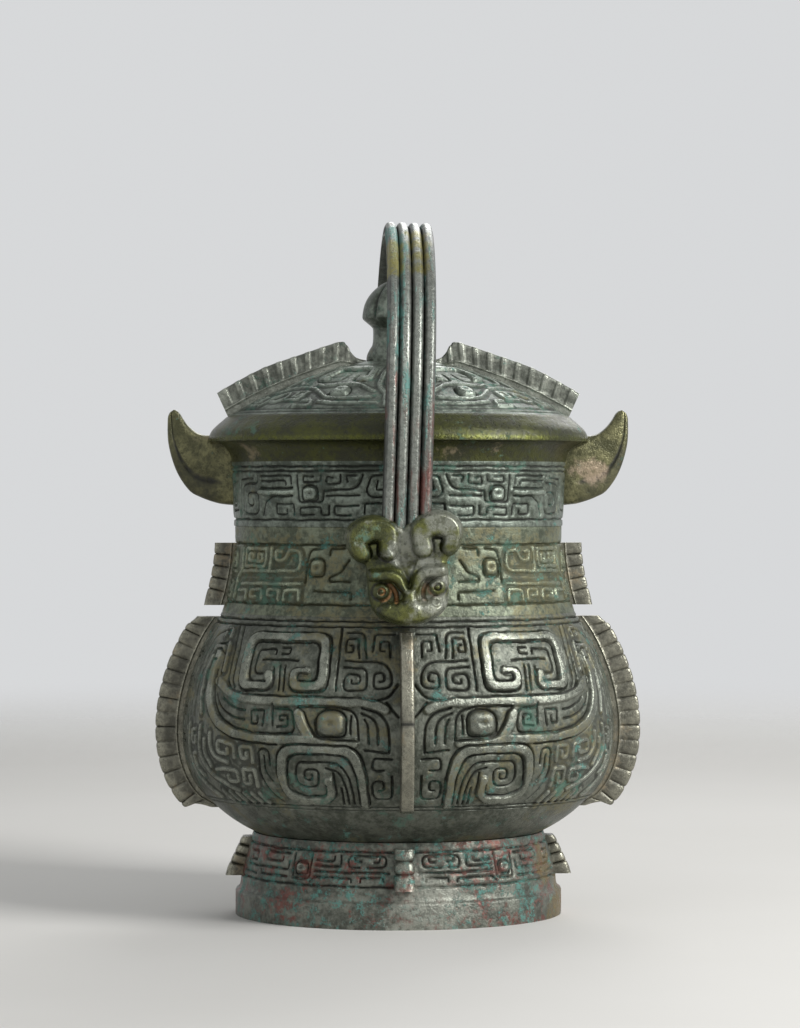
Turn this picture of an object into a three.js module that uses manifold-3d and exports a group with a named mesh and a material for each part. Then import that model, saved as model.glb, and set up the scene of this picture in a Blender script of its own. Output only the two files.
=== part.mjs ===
// Bronze wine vessel with a lid and a swinging bail, in millimetres with +Z up.
// The origin is the centre of the foot's lower edge, and the long axis of the oval plan is X.
// Profiles are drawn as (half-width, height) and pressed into the oval plan by DEPTH_RATIO.
import * as THREE from "three";
import { mergeVertices } from "three/addons/utils/BufferGeometryUtils.js";
import Module from "manifold-3d";

const wasm = await Module();
wasm.setup();

const point = (x, y) => new THREE.Vector2(x, y);

// Oval plan
const DEPTH_RATIO = 0.82; // front-to-back size over side-to-side size

// Facets
const PLAN_SEGMENTS = 32;
const KNOB_SEGMENTS = 16;
const BELLY_STEPS = 9;
const NECK_STEPS = 3;
const INNER_STEPS = 4;
const ROOF_STEPS = 6;
const COVE_STEPS = 3;
const CAP_STEPS = 5;
const STRAP_STEPS = 24;
const RING_STEPS = 16;
const BAR_SIDES = 8;
const BEVEL_STEPS = 1;
const OUTLINE_STEPS = 6;
const MASK_STEPS = 3;
const EYE_SIDES = 8;
const MERGE_DISTANCE = 1e-3;

// Clearances
const SEAT_GAP = 0.3; // between a cast-on detail and the wall that carries it
const LID_CLEARANCE = 0.8; // between the mouth collar and the lid's skirt
const LINK_CLEARANCE = 0.4; // between a bail ring and the lug that it hangs in

// Foot
const FOOT_HEIGHT = 32;
const FOOT_BASE_HEIGHT = 12.5; // plain band at the floor
const FOOT_BASE_HALF_WIDTH = 63.5;
const FOOT_WAIST_HALF_WIDTH = 56.5; // where the foot meets the belly
const FOOT_STEP = 2.2; // how far the ornament band is set in from the plain band
const FOOT_EDGE = 0.8; // softening of the plain band's upper edge
const FOOT_COVE = 0.7; // how far the ornament band stops short of the waist
const FOOT_COVE_HEIGHT = 2;
const FOOT_WALL = 4;

// Belly, neck and mouth
const WALL = 3.2;
const FLOOR_THICKNESS = 4;
const UNDER_BELLY_HEIGHT = 12.8;
const UNDER_BELLY_INSET = 1; // underside set in from the foot's waist
const UNDER_BELLY_PULL = 7; // bend of the plain curve over the foot
const UNDER_BELLY_PULL_HEIGHT = 5.1;
const BELLY_HEIGHT = 72.5;
const BELLY_LOW_HALF_WIDTH = 73.5;
const BELLY_LOW_PULL = 17.5; // how far the lower curve swells past its end
const BELLY_HIGH_PULL = 15.9; // how far the upper curve swells past its end
const BELLY_LOW_PULL_HEIGHT = 13.2;
const BELLY_HIGH_PULL_HEIGHT = 22.3;
const NECK_HEIGHT = 33.2;
const NECK_LOW_HALF_WIDTH = 68.6;
const NECK_TOP_HALF_WIDTH = 63.5;
const NECK_HOLLOW = 1.6; // how far the neck curves in between its ends
const COLLAR_HEIGHT = 21; // mouth collar that the lid covers
const COLLAR_INSET = 4; // width of the ledge that the lid stands on
const RIM_CHAMFER = 0.8;

// Lid, with heights above its lower edge
const LID_WALL_HEIGHT = 24.5;
const LID_WALL_THICKNESS = 3.6;
const LID_WALL_FLARE = 1.2;
const LID_COVE_HEIGHT = 9; // hollow under the flared edge
const LID_FLARE_HALF_WIDTH = 74.2;
const LID_BAND_HEIGHT = 9; // plain band over the flared edge
const LID_ROOF_HALF_WIDTH = 66;
const LID_ROOF_RISE = 23.5;
const LID_ROOF_CROWN = 15; // how far the roof bulges over a straight slope
const LID_FLARE_LIP = 1; // thickness of the flared edge
const LID_COVE_PULL = 1; // bend of the hollow under the flared edge
const LID_ROOF_STEP = 1; // small step round the roof

// Knob
const KNOB_HEIGHT = 29.5;
const KNOB_CAP_RADIUS = 14.2;
const KNOB_CAP_HEIGHT = 15;
const KNOB_CAP_UNDERCUT = 3; // height of the sloping underside
const KNOB_CROWN_RADIUS = 5;
const KNOB_CROWN_RISE = 1.4;
const KNOB_STEM_RADIUS = 10;
const KNOB_FOOT_RADIUS = 12.5;
const KNOB_FOOT_HEIGHT = 3;

// Lid horns
const HORN_REACH = 90; // distance of the outer face from the centre
const HORN_TIP_RISE = 11.5; // height of the tip over the flared edge
const HORN_ROOT_DROP = 26; // depth of the root below the flared edge
const HORN_THICKNESS = 10;
const HORN_TIP_WIDTH = 5.5;
const HORN_BEVEL = 1.6;
const HORN_SADDLE_RISE = 1.5; // height of the hollow behind the tip over the flared edge
const HORN_ROOT_LENGTH = 6; // of the root's lower edge
const HORN_ROOT_RISE = 1; // rise of that edge
const HORN_CURVE_INSET = 9; // how far the outer curve starts inside the reach
const HORN_CURVE_HEIGHT = 14.3; // over the root, where the outer curve turns upright
const HORN_THROAT_WIDTH = 4; // of the hollow behind the tip

// Ribbed flanges
const FLANGE_THICKNESS = 6;
const FLANGE_BITE = 6; // how far a flange blank starts inside the wall
const BELLY_FLANGE_DEPTH = 10.8;
const BELLY_FLANGE_RIBS = 13;
const BELLY_FLANGE_MARGIN = 1.8; // plain wall over a side flange
const NECK_FLANGE_DEPTH = 8;
const NECK_FLANGE_RIBS = 5;
const NECK_FLANGE_MARGIN = 5.8; // plain wall over and under a neck flange
const FOOT_FLANGE_DEPTH = 6.2;
const FOOT_FLANGE_RIBS = 4;
const FOOT_FLANGE_TAPER = 0.55; // share of the depth that is lost at the waist
const LID_FLANGE_HEIGHT = 9;
const LID_FLANGE_RIBS = 10;
const LID_FLANGE_INNER = 20; // distance of the inner end from the centre
const LID_FLANGE_OVERHANG = 5; // how far the outer tip passes the roof's edge
const RIB_GROOVE_WIDTH = 1.8;
const RIB_GROOVE_DEPTH = 1.1;
const PLAIN_STRIP = 0.34; // share of a flange's depth that stays plain along the wall
const END_EASE = 0.8; // depth of a flange's ends over its depth in the middle

// Lugs on the neck
const HINGE_DROP = 14.5; // hinge axis below the ledge
const LUG_REACH = 8.6; // from the neck wall to the middle of the lug's bar
const LUG_HALF_SPAN = 9.5;
const LUG_BAR_RADIUS = 2.4;
const LUG_CORNER = 4;

// Bail
const HAND_GAP = 17; // between the knob and the bail
const BAIL_LEAN = 1.75; // degrees that the loose bail stands towards +X
const STRAP_WIDTH = 19.4;
const STRAP_PLATE = 3.2;
const STRAP_RIDGES = 4;
const STRAP_RIDGE_HEIGHT = 2.3;
const STRAP_FOOT = 9; // height of the strap's ends over the hinge axis
const STRAP_SET = 0.7; // strap's inner face in front of the mask's back
const RING_WIRE_RADIUS = 2.2;
const RING_HALF_HEIGHT = 10.5;
const RING_END_BITE = 4; // how far the ring's arms reach past the lug's bar before the mask

// Animal mask at each end of the bail
const MASK_DEPTH = 11.5;
const MASK_CHIN = 21.5; // chin below the hinge axis
const MASK_CHEEK_TAPER = 1.2; // how much narrower the cheeks are than the brow
const MASK_ROUNDING = 3;
const MASK_CHEEK_DROP = 9; // where the cheeks start to round in, below the hinge axis
const MASK_JAW_PULL = 8.1; // roundness of the chin
const MASK_JAW_DROP = 18.3;
const MASK_HORN_SPACING = 12.1;
const MASK_HORN_RADIUS = 9.4;
const MASK_HORN_BAND = 6.8; // width of a horn's own band
const MASK_HORN_LEG = 4.4;
const MASK_HORN_SEAT = 1.3; // width of the brow under a horn's outer leg
const MASK_HORN_TOP = 20.2; // top of the horns over the hinge axis
const MASK_HORN_ROUNDING = 1.4;
const MASK_SNOUT = new THREE.Vector3(9.5, 10.5, 6); // half-sizes
const MASK_EYE_RADIUS = 2.8;
const MASK_EYE_SPREAD = 11.9;
const MASK_EYE_DROP = 6.6;
const MASK_BOSS_SINK = 1; // middles of the snout and eyes behind the face's front
const MASK_CLEARANCE = 2.5; // between the chin and the flange below it

// Ornament, drawn for the front right quarter of each wall and mirrored into the other three.
// Points are (across, up): from the middle of the front to the side, and up along the wall's profile.
const RELIEF_HEIGHT = 1.1; // of the main bands over their wall
const RELIEF_EYE_HEIGHT = 1.8;
const RELIEF_SINK = 1.5; // how far a band or eye starts inside its wall
const BELLY_PANEL = point(120, 78.7);
const BELLY_BAND = 3.6;
const BELLY_HORN = [
  [42.2, 55.6], [45, 53.4], [43, 50.8], [35.4, 50.6], [32.2, 54], [32.2, 66], [35.5, 70], [46, 70.2],
  [57, 70.2], [67.4, 70], [70.6, 66], [70, 54], [67, 51], [57.6, 50.8], [55, 53], [56.6, 55.8],
];
const BELLY_JAW = [
  [16.4, 7.5], [16.8, 16], [19.4, 23.4], [24, 27.2], [34, 27.4], [44.6, 27.2], [48.2, 23], [48, 14],
  [44, 9.4], [36, 9], [32, 12], [32, 17], [35, 20],
];
const BELLY_EYE = { at: [29, 37], halfSizes: [5.4, 4.4] };
const NECK_PANEL = point(97, 33.8);
const NECK_BAND = 3;
const NECK_BODY = [[42, 14.6], [52, 14.5], [63, 14.3], [74, 14.2]];
const LID_PANEL = point(93, 24.5);
const LID_BAND = 2;
const LID_BODY = [[45, 13], [53, 13], [61, 13]];
const LID_EYE = { at: [36.8, 12.7], halfSizes: [2.9, 2.5] };
const ROOF_PANEL = point(95, 70.6);
const ROOF_BAND = 3.2;
const ROOF_HORN = [
  [24, 30.8], [21.6, 34], [21.6, 40], [25, 42.8], [40, 42.8], [55, 42.8], [58.4, 40], [58.4, 34], [55, 30.6],
];
const ROOF_EYE = { at: [32, 18], halfSizes: [4.4, 3.6] };

// Heights and half-widths that follow from the sizes above
const BELLY_LOW_Z = FOOT_HEIGHT + UNDER_BELLY_HEIGHT;
const NECK_LOW_Z = BELLY_LOW_Z + BELLY_HEIGHT;
const LEDGE_Z = NECK_LOW_Z + NECK_HEIGHT;
const HINGE_Z = LEDGE_Z - HINGE_DROP;
const COLLAR_HALF_WIDTH = NECK_TOP_HALF_WIDTH - COLLAR_INSET;
const LID_Z = LEDGE_Z + SEAT_GAP;
const LID_SKIRT_INNER = COLLAR_HALF_WIDTH + LID_CLEARANCE;
const LID_SKIRT_OUTER = LID_SKIRT_INNER + LID_WALL_THICKNESS;
const LID_FLARE_Z = LID_WALL_HEIGHT + LID_COVE_HEIGHT;
const LID_ROOF_Z = LID_FLARE_Z + LID_BAND_HEIGHT;
const LID_TOP_Z = LID_ROOF_Z + LID_ROOF_RISE;
const STRAP_THICKNESS = STRAP_PLATE + STRAP_RIDGE_HEIGHT;
const BAIL_INNER_APEX = LID_Z + LID_TOP_Z + KNOB_HEIGHT + HAND_GAP - HINGE_Z;
const MASK_HORN_LEG_INNER = MASK_HORN_SPACING + MASK_HORN_RADIUS - MASK_HORN_BAND;
const MASK_BROW_HALF_WIDTH = MASK_HORN_LEG_INNER + MASK_HORN_SEAT;
const MASK_CHEEK_HALF_WIDTH = MASK_BROW_HALF_WIDTH - MASK_CHEEK_TAPER;

const bronze = (color, roughness) =>
  new THREE.MeshStandardMaterial({ color, roughness, metalness: 0.75 });
const BODY_BRONZE = bronze(0x4c4a38, 0.45);
const LID_BRONZE = bronze(0x545238, 0.42);
const BAIL_BRONZE = bronze(0x5c5a48, 0.4);
const FLANGE_BRONZE = bronze(0x6f6b58, 0.5);

// A closed geometry as a solid for cutting and joining.
function toSolid(geometry) {
  const bare = geometry.index ? geometry.toNonIndexed() : geometry.clone();
  bare.deleteAttribute("normal");
  bare.deleteAttribute("uv");
  const merged = mergeVertices(bare, MERGE_DISTANCE);
  const corners = merged.index.array;
  const triVerts = [];
  for (let i = 0; i < corners.length; i += 3) {
    const [a, b, c] = corners.slice(i, i + 3);
    if (a !== b && b !== c && c !== a) triVerts.push(a, b, c);
  }
  const vertProperties = merged.attributes.position.array;
  return new wasm.Manifold(
    new wasm.Mesh({ numProp: 3, vertProperties, triVerts: new Uint32Array(triVerts) }),
  );
}

// A solid back as a geometry.
function toGeometry(solid) {
  const mesh = solid.getMesh();
  const geometry = new THREE.BufferGeometry();
  geometry.setAttribute("position", new THREE.BufferAttribute(mesh.vertProperties, 3));
  geometry.setIndex(new THREE.BufferAttribute(mesh.triVerts, 1));
  geometry.computeVertexNormals();
  return geometry;
}

const joinAll = (geometries) => geometries.map(toSolid).reduce((a, b) => a.add(b));

function piece(name, solid, material) {
  const mesh = new THREE.Mesh(toGeometry(solid), material);
  mesh.name = name;
  return mesh;
}

// Points of an open polyline moved sideways, to the right of its direction when distance is positive.
function offsetLine(points, distance) {
  return points.map((p, i) => {
    const before = points[Math.max(i - 1, 0)];
    const after = points[Math.min(i + 1, points.length - 1)];
    const along = after.clone().sub(before).normalize();
    return point(p.x + along.y * distance, p.y - along.x * distance);
  });
}

// Half-width of a rising profile curve at a height, by halving.
function halfWidthAt(curve, height) {
  let low = 0;
  let high = 1;
  for (let i = 0; i < 40; i++) {
    const middle = (low + high) / 2;
    if (curve.getPoint(middle).y < height) low = middle;
    else high = middle;
  }
  return curve.getPoint(low).x;
}

// A profile turned about Z and pressed into the oval plan.
function ovalRevolve(profile, ratio = DEPTH_RATIO, segments = PLAN_SEGMENTS) {
  const geometry = new THREE.LatheGeometry(profile, segments);
  geometry.rotateX(Math.PI / 2);
  geometry.scale(1, ratio, 1);
  return toSolid(geometry);
}

// The space inside an outer profile, grown by the seat gap, which a detail on that wall stays out of.
const keepOut = (outer) => {
  const grown = offsetLine(outer, SEAT_GAP / DEPTH_RATIO);
  return ovalRevolve([point(0, grown[0].y), ...grown, point(0, grown[grown.length - 1].y)]);
};

// A straight-sided plate from an outline in (x, height), centred on the XZ plane.
function uprightPlate(shape, thickness, bevel = 0, curveSegments = OUTLINE_STEPS) {
  const geometry = new THREE.ExtrudeGeometry(shape, {
    depth: thickness - 2 * bevel,
    curveSegments,
    bevelEnabled: bevel > 0,
    bevelThickness: bevel,
    bevelSize: bevel,
    bevelOffset: -bevel,
    bevelSegments: BEVEL_STEPS,
  });
  geometry.translate(0, 0, bevel - thickness / 2);
  geometry.rotateX(Math.PI / 2);
  return geometry;
}

// A round bar along a path.
function bar(path, radius, steps) {
  const section = new THREE.Shape();
  section.absarc(0, 0, radius, 0, 2 * Math.PI);
  return new THREE.ExtrudeGeometry(section, {
    extrudePath: path,
    steps,
    curveSegments: BAR_SIDES / 2,
    bevelEnabled: false,
  });
}

// A quarter of a wall that carries ornament: the wall's rising profile, and the size it is drawn at.
class Panel {
  static plan = new THREE.EllipseCurve(0, 0, 1, DEPTH_RATIO, -Math.PI / 2, 0);

  constructor(profile, size) {
    this.profile = profile;
    this.size = size;
  }

  // The place of a drawn point, and then a distance out of the wall along its normal.
  place(drawn, out) {
    const across = drawn.x / this.size.x;
    const up = drawn.y / this.size.y;
    const plan = Panel.plan.getPointAt(across);
    const heading = Panel.plan.getTangentAt(across);
    const spot = this.profile.getPointAt(up);
    const rise = this.profile.getTangentAt(up);
    return new THREE.Vector3(
      plan.x * spot.x + heading.y * rise.y * out,
      plan.y * spot.x - heading.x * rise.y * out,
      spot.y - rise.x * out,
    );
  }

  // An outline in drawn points, raised over the wall and bent to follow it.
  raise(outline, height) {
    const geometry = new THREE.ExtrudeGeometry(new THREE.Shape(outline), {
      depth: RELIEF_SINK + height,
      bevelEnabled: false,
    });
    const corners = geometry.attributes.position;
    for (let i = 0; i < corners.count; i++) {
      const drawn = point(corners.getX(i), corners.getY(i));
      const placed = this.place(drawn, corners.getZ(i) - RELIEF_SINK);
      corners.setXYZ(i, placed.x, placed.y, placed.z);
    }
    return toSolid(geometry);
  }

  band(line, width) {
    const middle = line.map(([across, up]) => point(across, up));
    const edges = [...offsetLine(middle, width / 2), ...offsetLine(middle, -width / 2).reverse()];
    return this.raise(edges, RELIEF_HEIGHT);
  }

  eye({ at, halfSizes }) {
    const rim = new THREE.EllipseCurve(...at, ...halfSizes, 0, 2 * Math.PI);
    return this.raise(rim.getPoints(EYE_SIDES).slice(0, -1), RELIEF_EYE_HEIGHT);
  }
}

// A wall with the ornament of its front right quarter added there and mirrored into the other three.
function addOrnament(wall, ornament) {
  const right = ornament.reduce((a, b) => a.add(b));
  const front = right.add(right.mirror([1, 0, 0]));
  return wall.add(front).add(front.mirror([0, 1, 0]));
}

// Vessel profiles

const underBelly = new THREE.QuadraticBezierCurve(
  point(FOOT_WAIST_HALF_WIDTH - UNDER_BELLY_INSET, FOOT_HEIGHT),
  point(BELLY_LOW_HALF_WIDTH - UNDER_BELLY_PULL, FOOT_HEIGHT + UNDER_BELLY_PULL_HEIGHT),
  point(BELLY_LOW_HALF_WIDTH, BELLY_LOW_Z),
);
const belly = new THREE.CubicBezierCurve(
  point(BELLY_LOW_HALF_WIDTH, BELLY_LOW_Z),
  point(BELLY_LOW_HALF_WIDTH + BELLY_LOW_PULL, BELLY_LOW_Z + BELLY_LOW_PULL_HEIGHT),
  point(NECK_LOW_HALF_WIDTH + BELLY_HIGH_PULL, NECK_LOW_Z - BELLY_HIGH_PULL_HEIGHT),
  point(NECK_LOW_HALF_WIDTH, NECK_LOW_Z),
);
const neck = new THREE.QuadraticBezierCurve(
  point(NECK_LOW_HALF_WIDTH, NECK_LOW_Z),
  point(
    (NECK_LOW_HALF_WIDTH + NECK_TOP_HALF_WIDTH) / 2 - 2 * NECK_HOLLOW,
    (NECK_LOW_Z + LEDGE_Z) / 2,
  ),
  point(NECK_TOP_HALF_WIDTH, LEDGE_Z),
);
const vesselOuter = [
  ...underBelly.getPoints(NECK_STEPS).slice(0, -1),
  ...belly.getPoints(BELLY_STEPS).slice(0, -1),
  ...neck.getPoints(NECK_STEPS),
];

function vesselBody() {
  const collarInner = COLLAR_HALF_WIDTH - WALL;
  const rim = LEDGE_Z + COLLAR_HEIGHT;
  const floor = FOOT_HEIGHT + FLOOR_THICKNESS;
  const inner = offsetLine(
    [...belly.getPoints(INNER_STEPS).slice(0, -1), ...neck.getPoints(NECK_STEPS - 1)],
    -WALL,
  )
    .filter((p) => p.y < LEDGE_Z - COLLAR_INSET - WALL && p.y > floor)
    .reverse();
  const wall = ovalRevolve([
    point(0, FOOT_HEIGHT),
    ...vesselOuter,
    point(COLLAR_HALF_WIDTH, LEDGE_Z),
    point(COLLAR_HALF_WIDTH, rim - RIM_CHAMFER),
    point(COLLAR_HALF_WIDTH - RIM_CHAMFER, rim),
    point(collarInner + RIM_CHAMFER, rim),
    point(collarInner, rim - RIM_CHAMFER),
    point(collarInner, LEDGE_Z - WALL / 2),
    ...inner,
    point(FOOT_WAIST_HALF_WIDTH - WALL, floor),
    point(0, floor),
  ]);
  const bellyPanel = new Panel(belly, BELLY_PANEL);
  const neckPanel = new Panel(neck, NECK_PANEL);
  return addOrnament(wall, [
    bellyPanel.band(BELLY_HORN, BELLY_BAND),
    bellyPanel.band(BELLY_JAW, BELLY_BAND),
    bellyPanel.eye(BELLY_EYE),
    neckPanel.band(NECK_BODY, NECK_BAND),
  ]);
}

// Foot ring: plain band at the floor, then an ornament band set in behind a step.
const footBandLow = FOOT_BASE_HALF_WIDTH - FOOT_STEP;
const footBand = new THREE.LineCurve(
  point(footBandLow, FOOT_BASE_HEIGHT + FOOT_STEP),
  point(FOOT_WAIST_HALF_WIDTH + FOOT_COVE, FOOT_HEIGHT - FOOT_COVE_HEIGHT),
);
const footOuter = [
  point(FOOT_BASE_HALF_WIDTH, 0),
  point(FOOT_BASE_HALF_WIDTH, FOOT_BASE_HEIGHT - 2 * FOOT_EDGE),
  point(FOOT_BASE_HALF_WIDTH - FOOT_EDGE, FOOT_BASE_HEIGHT),
  point(footBandLow, FOOT_BASE_HEIGHT + FOOT_EDGE),
  footBand.v1,
  footBand.v2,
  point(FOOT_WAIST_HALF_WIDTH, FOOT_HEIGHT),
];

function footRing() {
  const profile = [
    ...footOuter,
    point(FOOT_WAIST_HALF_WIDTH - FOOT_WALL, FOOT_HEIGHT),
    point(footBandLow - FOOT_WALL, FOOT_BASE_HEIGHT),
    point(FOOT_BASE_HALF_WIDTH - FOOT_WALL, 0),
    point(FOOT_BASE_HALF_WIDTH, 0),
  ];
  return ovalRevolve(profile);
}

// Ribbed flanges

// A groove of triangular section, along +X from the origin, that opens towards +Y.
function ribGroove(length) {
  const section = new THREE.Shape([
    point(-RIB_GROOVE_WIDTH / 2, 0),
    point(0, -RIB_GROOVE_DEPTH),
    point(RIB_GROOVE_WIDTH / 2, 0),
    point(RIB_GROOVE_WIDTH / 2, RIB_GROOVE_DEPTH),
    point(-RIB_GROOVE_WIDTH / 2, RIB_GROOVE_DEPTH),
  ]);
  const geometry = new THREE.ExtrudeGeometry(section, { depth: length, bevelEnabled: false });
  return geometry.rotateY(Math.PI / 2);
}

// Grooves on both faces of an upright plate, each square to the outer edge.
function cutRibs(blank, foot, edge, ribs) {
  let ribbed = blank;
  for (let i = 1; i < ribs; i++) {
    const from = foot(i / ribs);
    const to = edge(i / ribs);
    const outward = to.clone().sub(from);
    const start = from.clone().addScaledVector(outward, PLAIN_STRIP);
    const length = outward.length() * (1 - PLAIN_STRIP) + RIB_GROOVE_WIDTH;
    for (const side of [1, -1]) {
      const groove = ribGroove(length);
      if (side < 0) groove.rotateX(Math.PI);
      groove.rotateY(-Math.atan2(outward.y, outward.x));
      groove.translate(start.x, (side * FLANGE_THICKNESS) / 2, start.y);
      ribbed = ribbed.subtract(toSolid(groove));
    }
  }
  return ribbed;
}

// A flange on the stretch of a wall profile between two heights, in the XZ plane with +X outwards.
// depthAt gives its depth, from its lower end at 0 to its upper end at 1. Both ends are level.
function wallFlange({ wall, ratio, low, high, depthAt, ribs, steps }) {
  const start = low - FLANGE_BITE;
  const span = high - low + 2 * FLANGE_BITE;
  const share = (i) => THREE.MathUtils.clamp((start + (span * i) / steps - low) / (high - low), 0, 1);
  const heights = Array.from({ length: steps + 1 }, (_, i) => start + (span * i) / steps);
  const walls = heights.map((height) => point(halfWidthAt(wall, height) * ratio, height));
  const outward = offsetLine(walls, 1).map((p, i) => p.sub(walls[i]));
  const edges = walls.map((p, i) => p.clone().addScaledVector(outward[i], depthAt(share(i))));
  const roots = walls.map((p, i) => p.clone().addScaledVector(outward[i], -FLANGE_BITE));
  const plate = uprightPlate(new THREE.Shape([...edges, ...roots.reverse()]), FLANGE_THICKNESS);
  const slab = new THREE.BoxGeometry(4 * walls[0].x, 2 * FLANGE_THICKNESS, high - low);
  slab.translate(0, 0, (low + high) / 2);
  const wallLine = new THREE.SplineCurve(walls);
  const edgeLine = new THREE.SplineCurve(edges);
  const along = (u) => (FLANGE_BITE + u * (high - low)) / span;
  return cutRibs(
    toSolid(plate).intersect(toSolid(slab)),
    (u) => wallLine.getPoint(along(u)),
    (u) => edgeLine.getPoint(along(u)),
    ribs,
  );
}

// The four places of a flange round the plan: turn about Z, and reach along that direction.
const SIDES = [
  { side: "right", turn: 0, ratio: 1 },
  { side: "left", turn: Math.PI, ratio: 1 },
  { side: "front", turn: -Math.PI / 2, ratio: DEPTH_RATIO },
  { side: "back", turn: Math.PI / 2, ratio: DEPTH_RATIO },
];

// One flange on each named side, cut to the wall that it stands on.
function flangeSet(name, sides, solidWall, makeFlange) {
  return SIDES.filter(({ side }) => sides.includes(side)).map(({ side, turn, ratio }) => {
    const facing = ratio === 1 ? solidWall : solidWall.rotate([0, 0, 90]);
    const mesh = piece(`${name}_${side}`, makeFlange(ratio).subtract(facing), FLANGE_BRONZE);
    mesh.rotation.z = turn;
    return mesh;
  });
}

function vesselFlanges() {
  const solidWall = keepOut(vesselOuter);
  const sideTop = NECK_LOW_Z - BELLY_FLANGE_MARGIN;
  const maskTop = HINGE_Z - MASK_CHIN - MASK_CLEARANCE;
  const bellyFlange = (ratio) =>
    wallFlange({
      wall: belly,
      ratio,
      low: BELLY_LOW_Z - BELLY_FLANGE_MARGIN,
      high: ratio === 1 ? sideTop : maskTop,
      depthAt: (u) => BELLY_FLANGE_DEPTH * (END_EASE + (1 - END_EASE) * Math.sin(Math.PI * u)),
      ribs: BELLY_FLANGE_RIBS,
      steps: BELLY_FLANGE_RIBS + 1,
    });
  const neckFlange = (ratio) =>
    wallFlange({
      wall: neck,
      ratio,
      low: NECK_LOW_Z + NECK_FLANGE_MARGIN,
      high: LEDGE_Z - NECK_FLANGE_MARGIN,
      depthAt: () => NECK_FLANGE_DEPTH,
      ribs: NECK_FLANGE_RIBS,
      steps: NECK_FLANGE_RIBS,
    });
  return [
    ...flangeSet("belly_flange", ["right", "left", "front", "back"], solidWall, bellyFlange),
    ...flangeSet("neck_flange", ["right", "left"], solidWall, neckFlange),
  ];
}

function footFlanges() {
  const footFlange = (ratio) =>
    wallFlange({
      wall: footBand,
      ratio,
      low: footBand.v1.y + SEAT_GAP,
      high: footBand.v2.y,
      depthAt: (u) => FOOT_FLANGE_DEPTH * (1 - FOOT_FLANGE_TAPER * u),
      ribs: FOOT_FLANGE_RIBS,
      steps: FOOT_FLANGE_RIBS,
    });
  const sides = ["right", "left", "front", "back"];
  return flangeSet("foot_flange", sides, keepOut(footOuter), footFlange);
}

// Lid

const lidRoof = new THREE.QuadraticBezierCurve(
  point(LID_ROOF_HALF_WIDTH, LID_ROOF_Z),
  point(LID_ROOF_HALF_WIDTH / 2, LID_ROOF_Z + LID_ROOF_RISE / 2 + LID_ROOF_CROWN / 2),
  point(0, LID_TOP_Z),
);
const lidWallTop = LID_SKIRT_OUTER + LID_WALL_FLARE;
const lidCove = new THREE.QuadraticBezierCurve(
  point(lidWallTop, LID_WALL_HEIGHT),
  point(lidWallTop + LID_COVE_PULL, LID_FLARE_Z - LID_FLARE_LIP),
  point(LID_FLARE_HALF_WIDTH, LID_FLARE_Z - LID_FLARE_LIP),
);
const lidOuter = [
  point(LID_SKIRT_OUTER, 0),
  ...lidCove.getPoints(COVE_STEPS),
  point(LID_FLARE_HALF_WIDTH, LID_FLARE_Z),
  point(LID_ROOF_HALF_WIDTH + LID_ROOF_STEP, LID_ROOF_Z - LID_ROOF_STEP / 2),
  ...lidRoof.getPoints(ROOF_STEPS),
];

function lidShell() {
  const roofLine = lidRoof.getPoints(COVE_STEPS).slice(0, -1);
  const roofInner = offsetLine(roofLine, -LID_WALL_THICKNESS).reverse();
  const shell = ovalRevolve([
    point(0, LID_TOP_Z - LID_WALL_THICKNESS),
    ...roofInner,
    point(LID_FLARE_HALF_WIDTH - 2 * LID_WALL_THICKNESS, LID_FLARE_Z),
    point(LID_SKIRT_INNER, LID_WALL_HEIGHT),
    point(LID_SKIRT_INNER, 0),
    ...lidOuter,
  ]);
  const wallPanel = new Panel(new THREE.LineCurve(lidOuter[0], lidCove.v0), LID_PANEL);
  const roofPanel = new Panel(lidRoof, ROOF_PANEL);
  return addOrnament(shell, [
    wallPanel.band(LID_BODY, LID_BAND),
    wallPanel.eye(LID_EYE),
    roofPanel.band(ROOF_HORN, ROOF_BAND),
    roofPanel.eye(ROOF_EYE),
  ]);
}

// The crest along the roof's long axis, with an overhanging outer tip.
function lidFlange() {
  const roofAt = (x) => lidRoof.getPoint(1 - x / LID_ROOF_HALF_WIDTH).y;
  const tip = point(LID_ROOF_HALF_WIDTH + LID_FLANGE_OVERHANG, LID_ROOF_Z + LID_FLANGE_HEIGHT);
  const crest = point(LID_FLANGE_INNER, roofAt(LID_FLANGE_INNER) + LID_FLANGE_HEIGHT);
  const bulge = point((tip.x + crest.x) / 2, (tip.y + crest.y) / 2 + LID_ROOF_CROWN / 3);
  const edge = new THREE.QuadraticBezierCurve(tip, bulge, crest);
  const shape = new THREE.Shape();
  shape.moveTo(LID_ROOF_HALF_WIDTH - FLANGE_BITE, LID_ROOF_Z - FLANGE_BITE);
  shape.lineTo(LID_ROOF_HALF_WIDTH + LID_ROOF_STEP, LID_ROOF_Z - LID_ROOF_STEP);
  shape.quadraticCurveTo(LID_ROOF_HALF_WIDTH, LID_ROOF_Z + LID_FLANGE_HEIGHT / 2, tip.x, tip.y);
  shape.quadraticCurveTo(bulge.x, bulge.y, crest.x, crest.y);
  shape.lineTo(LID_FLANGE_INNER - LID_FLANGE_HEIGHT / 2, roofAt(LID_FLANGE_INNER));
  shape.lineTo(LID_FLANGE_INNER - LID_FLANGE_HEIGHT / 2, LID_ROOF_Z);
  const foot = (u) => {
    const x = THREE.MathUtils.lerp(LID_ROOF_HALF_WIDTH, LID_FLANGE_INNER, u);
    return point(x, roofAt(x));
  };
  const blank = toSolid(uprightPlate(shape, FLANGE_THICKNESS));
  return cutRibs(blank, foot, (u) => edge.getPoint(u), LID_FLANGE_RIBS);
}

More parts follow.
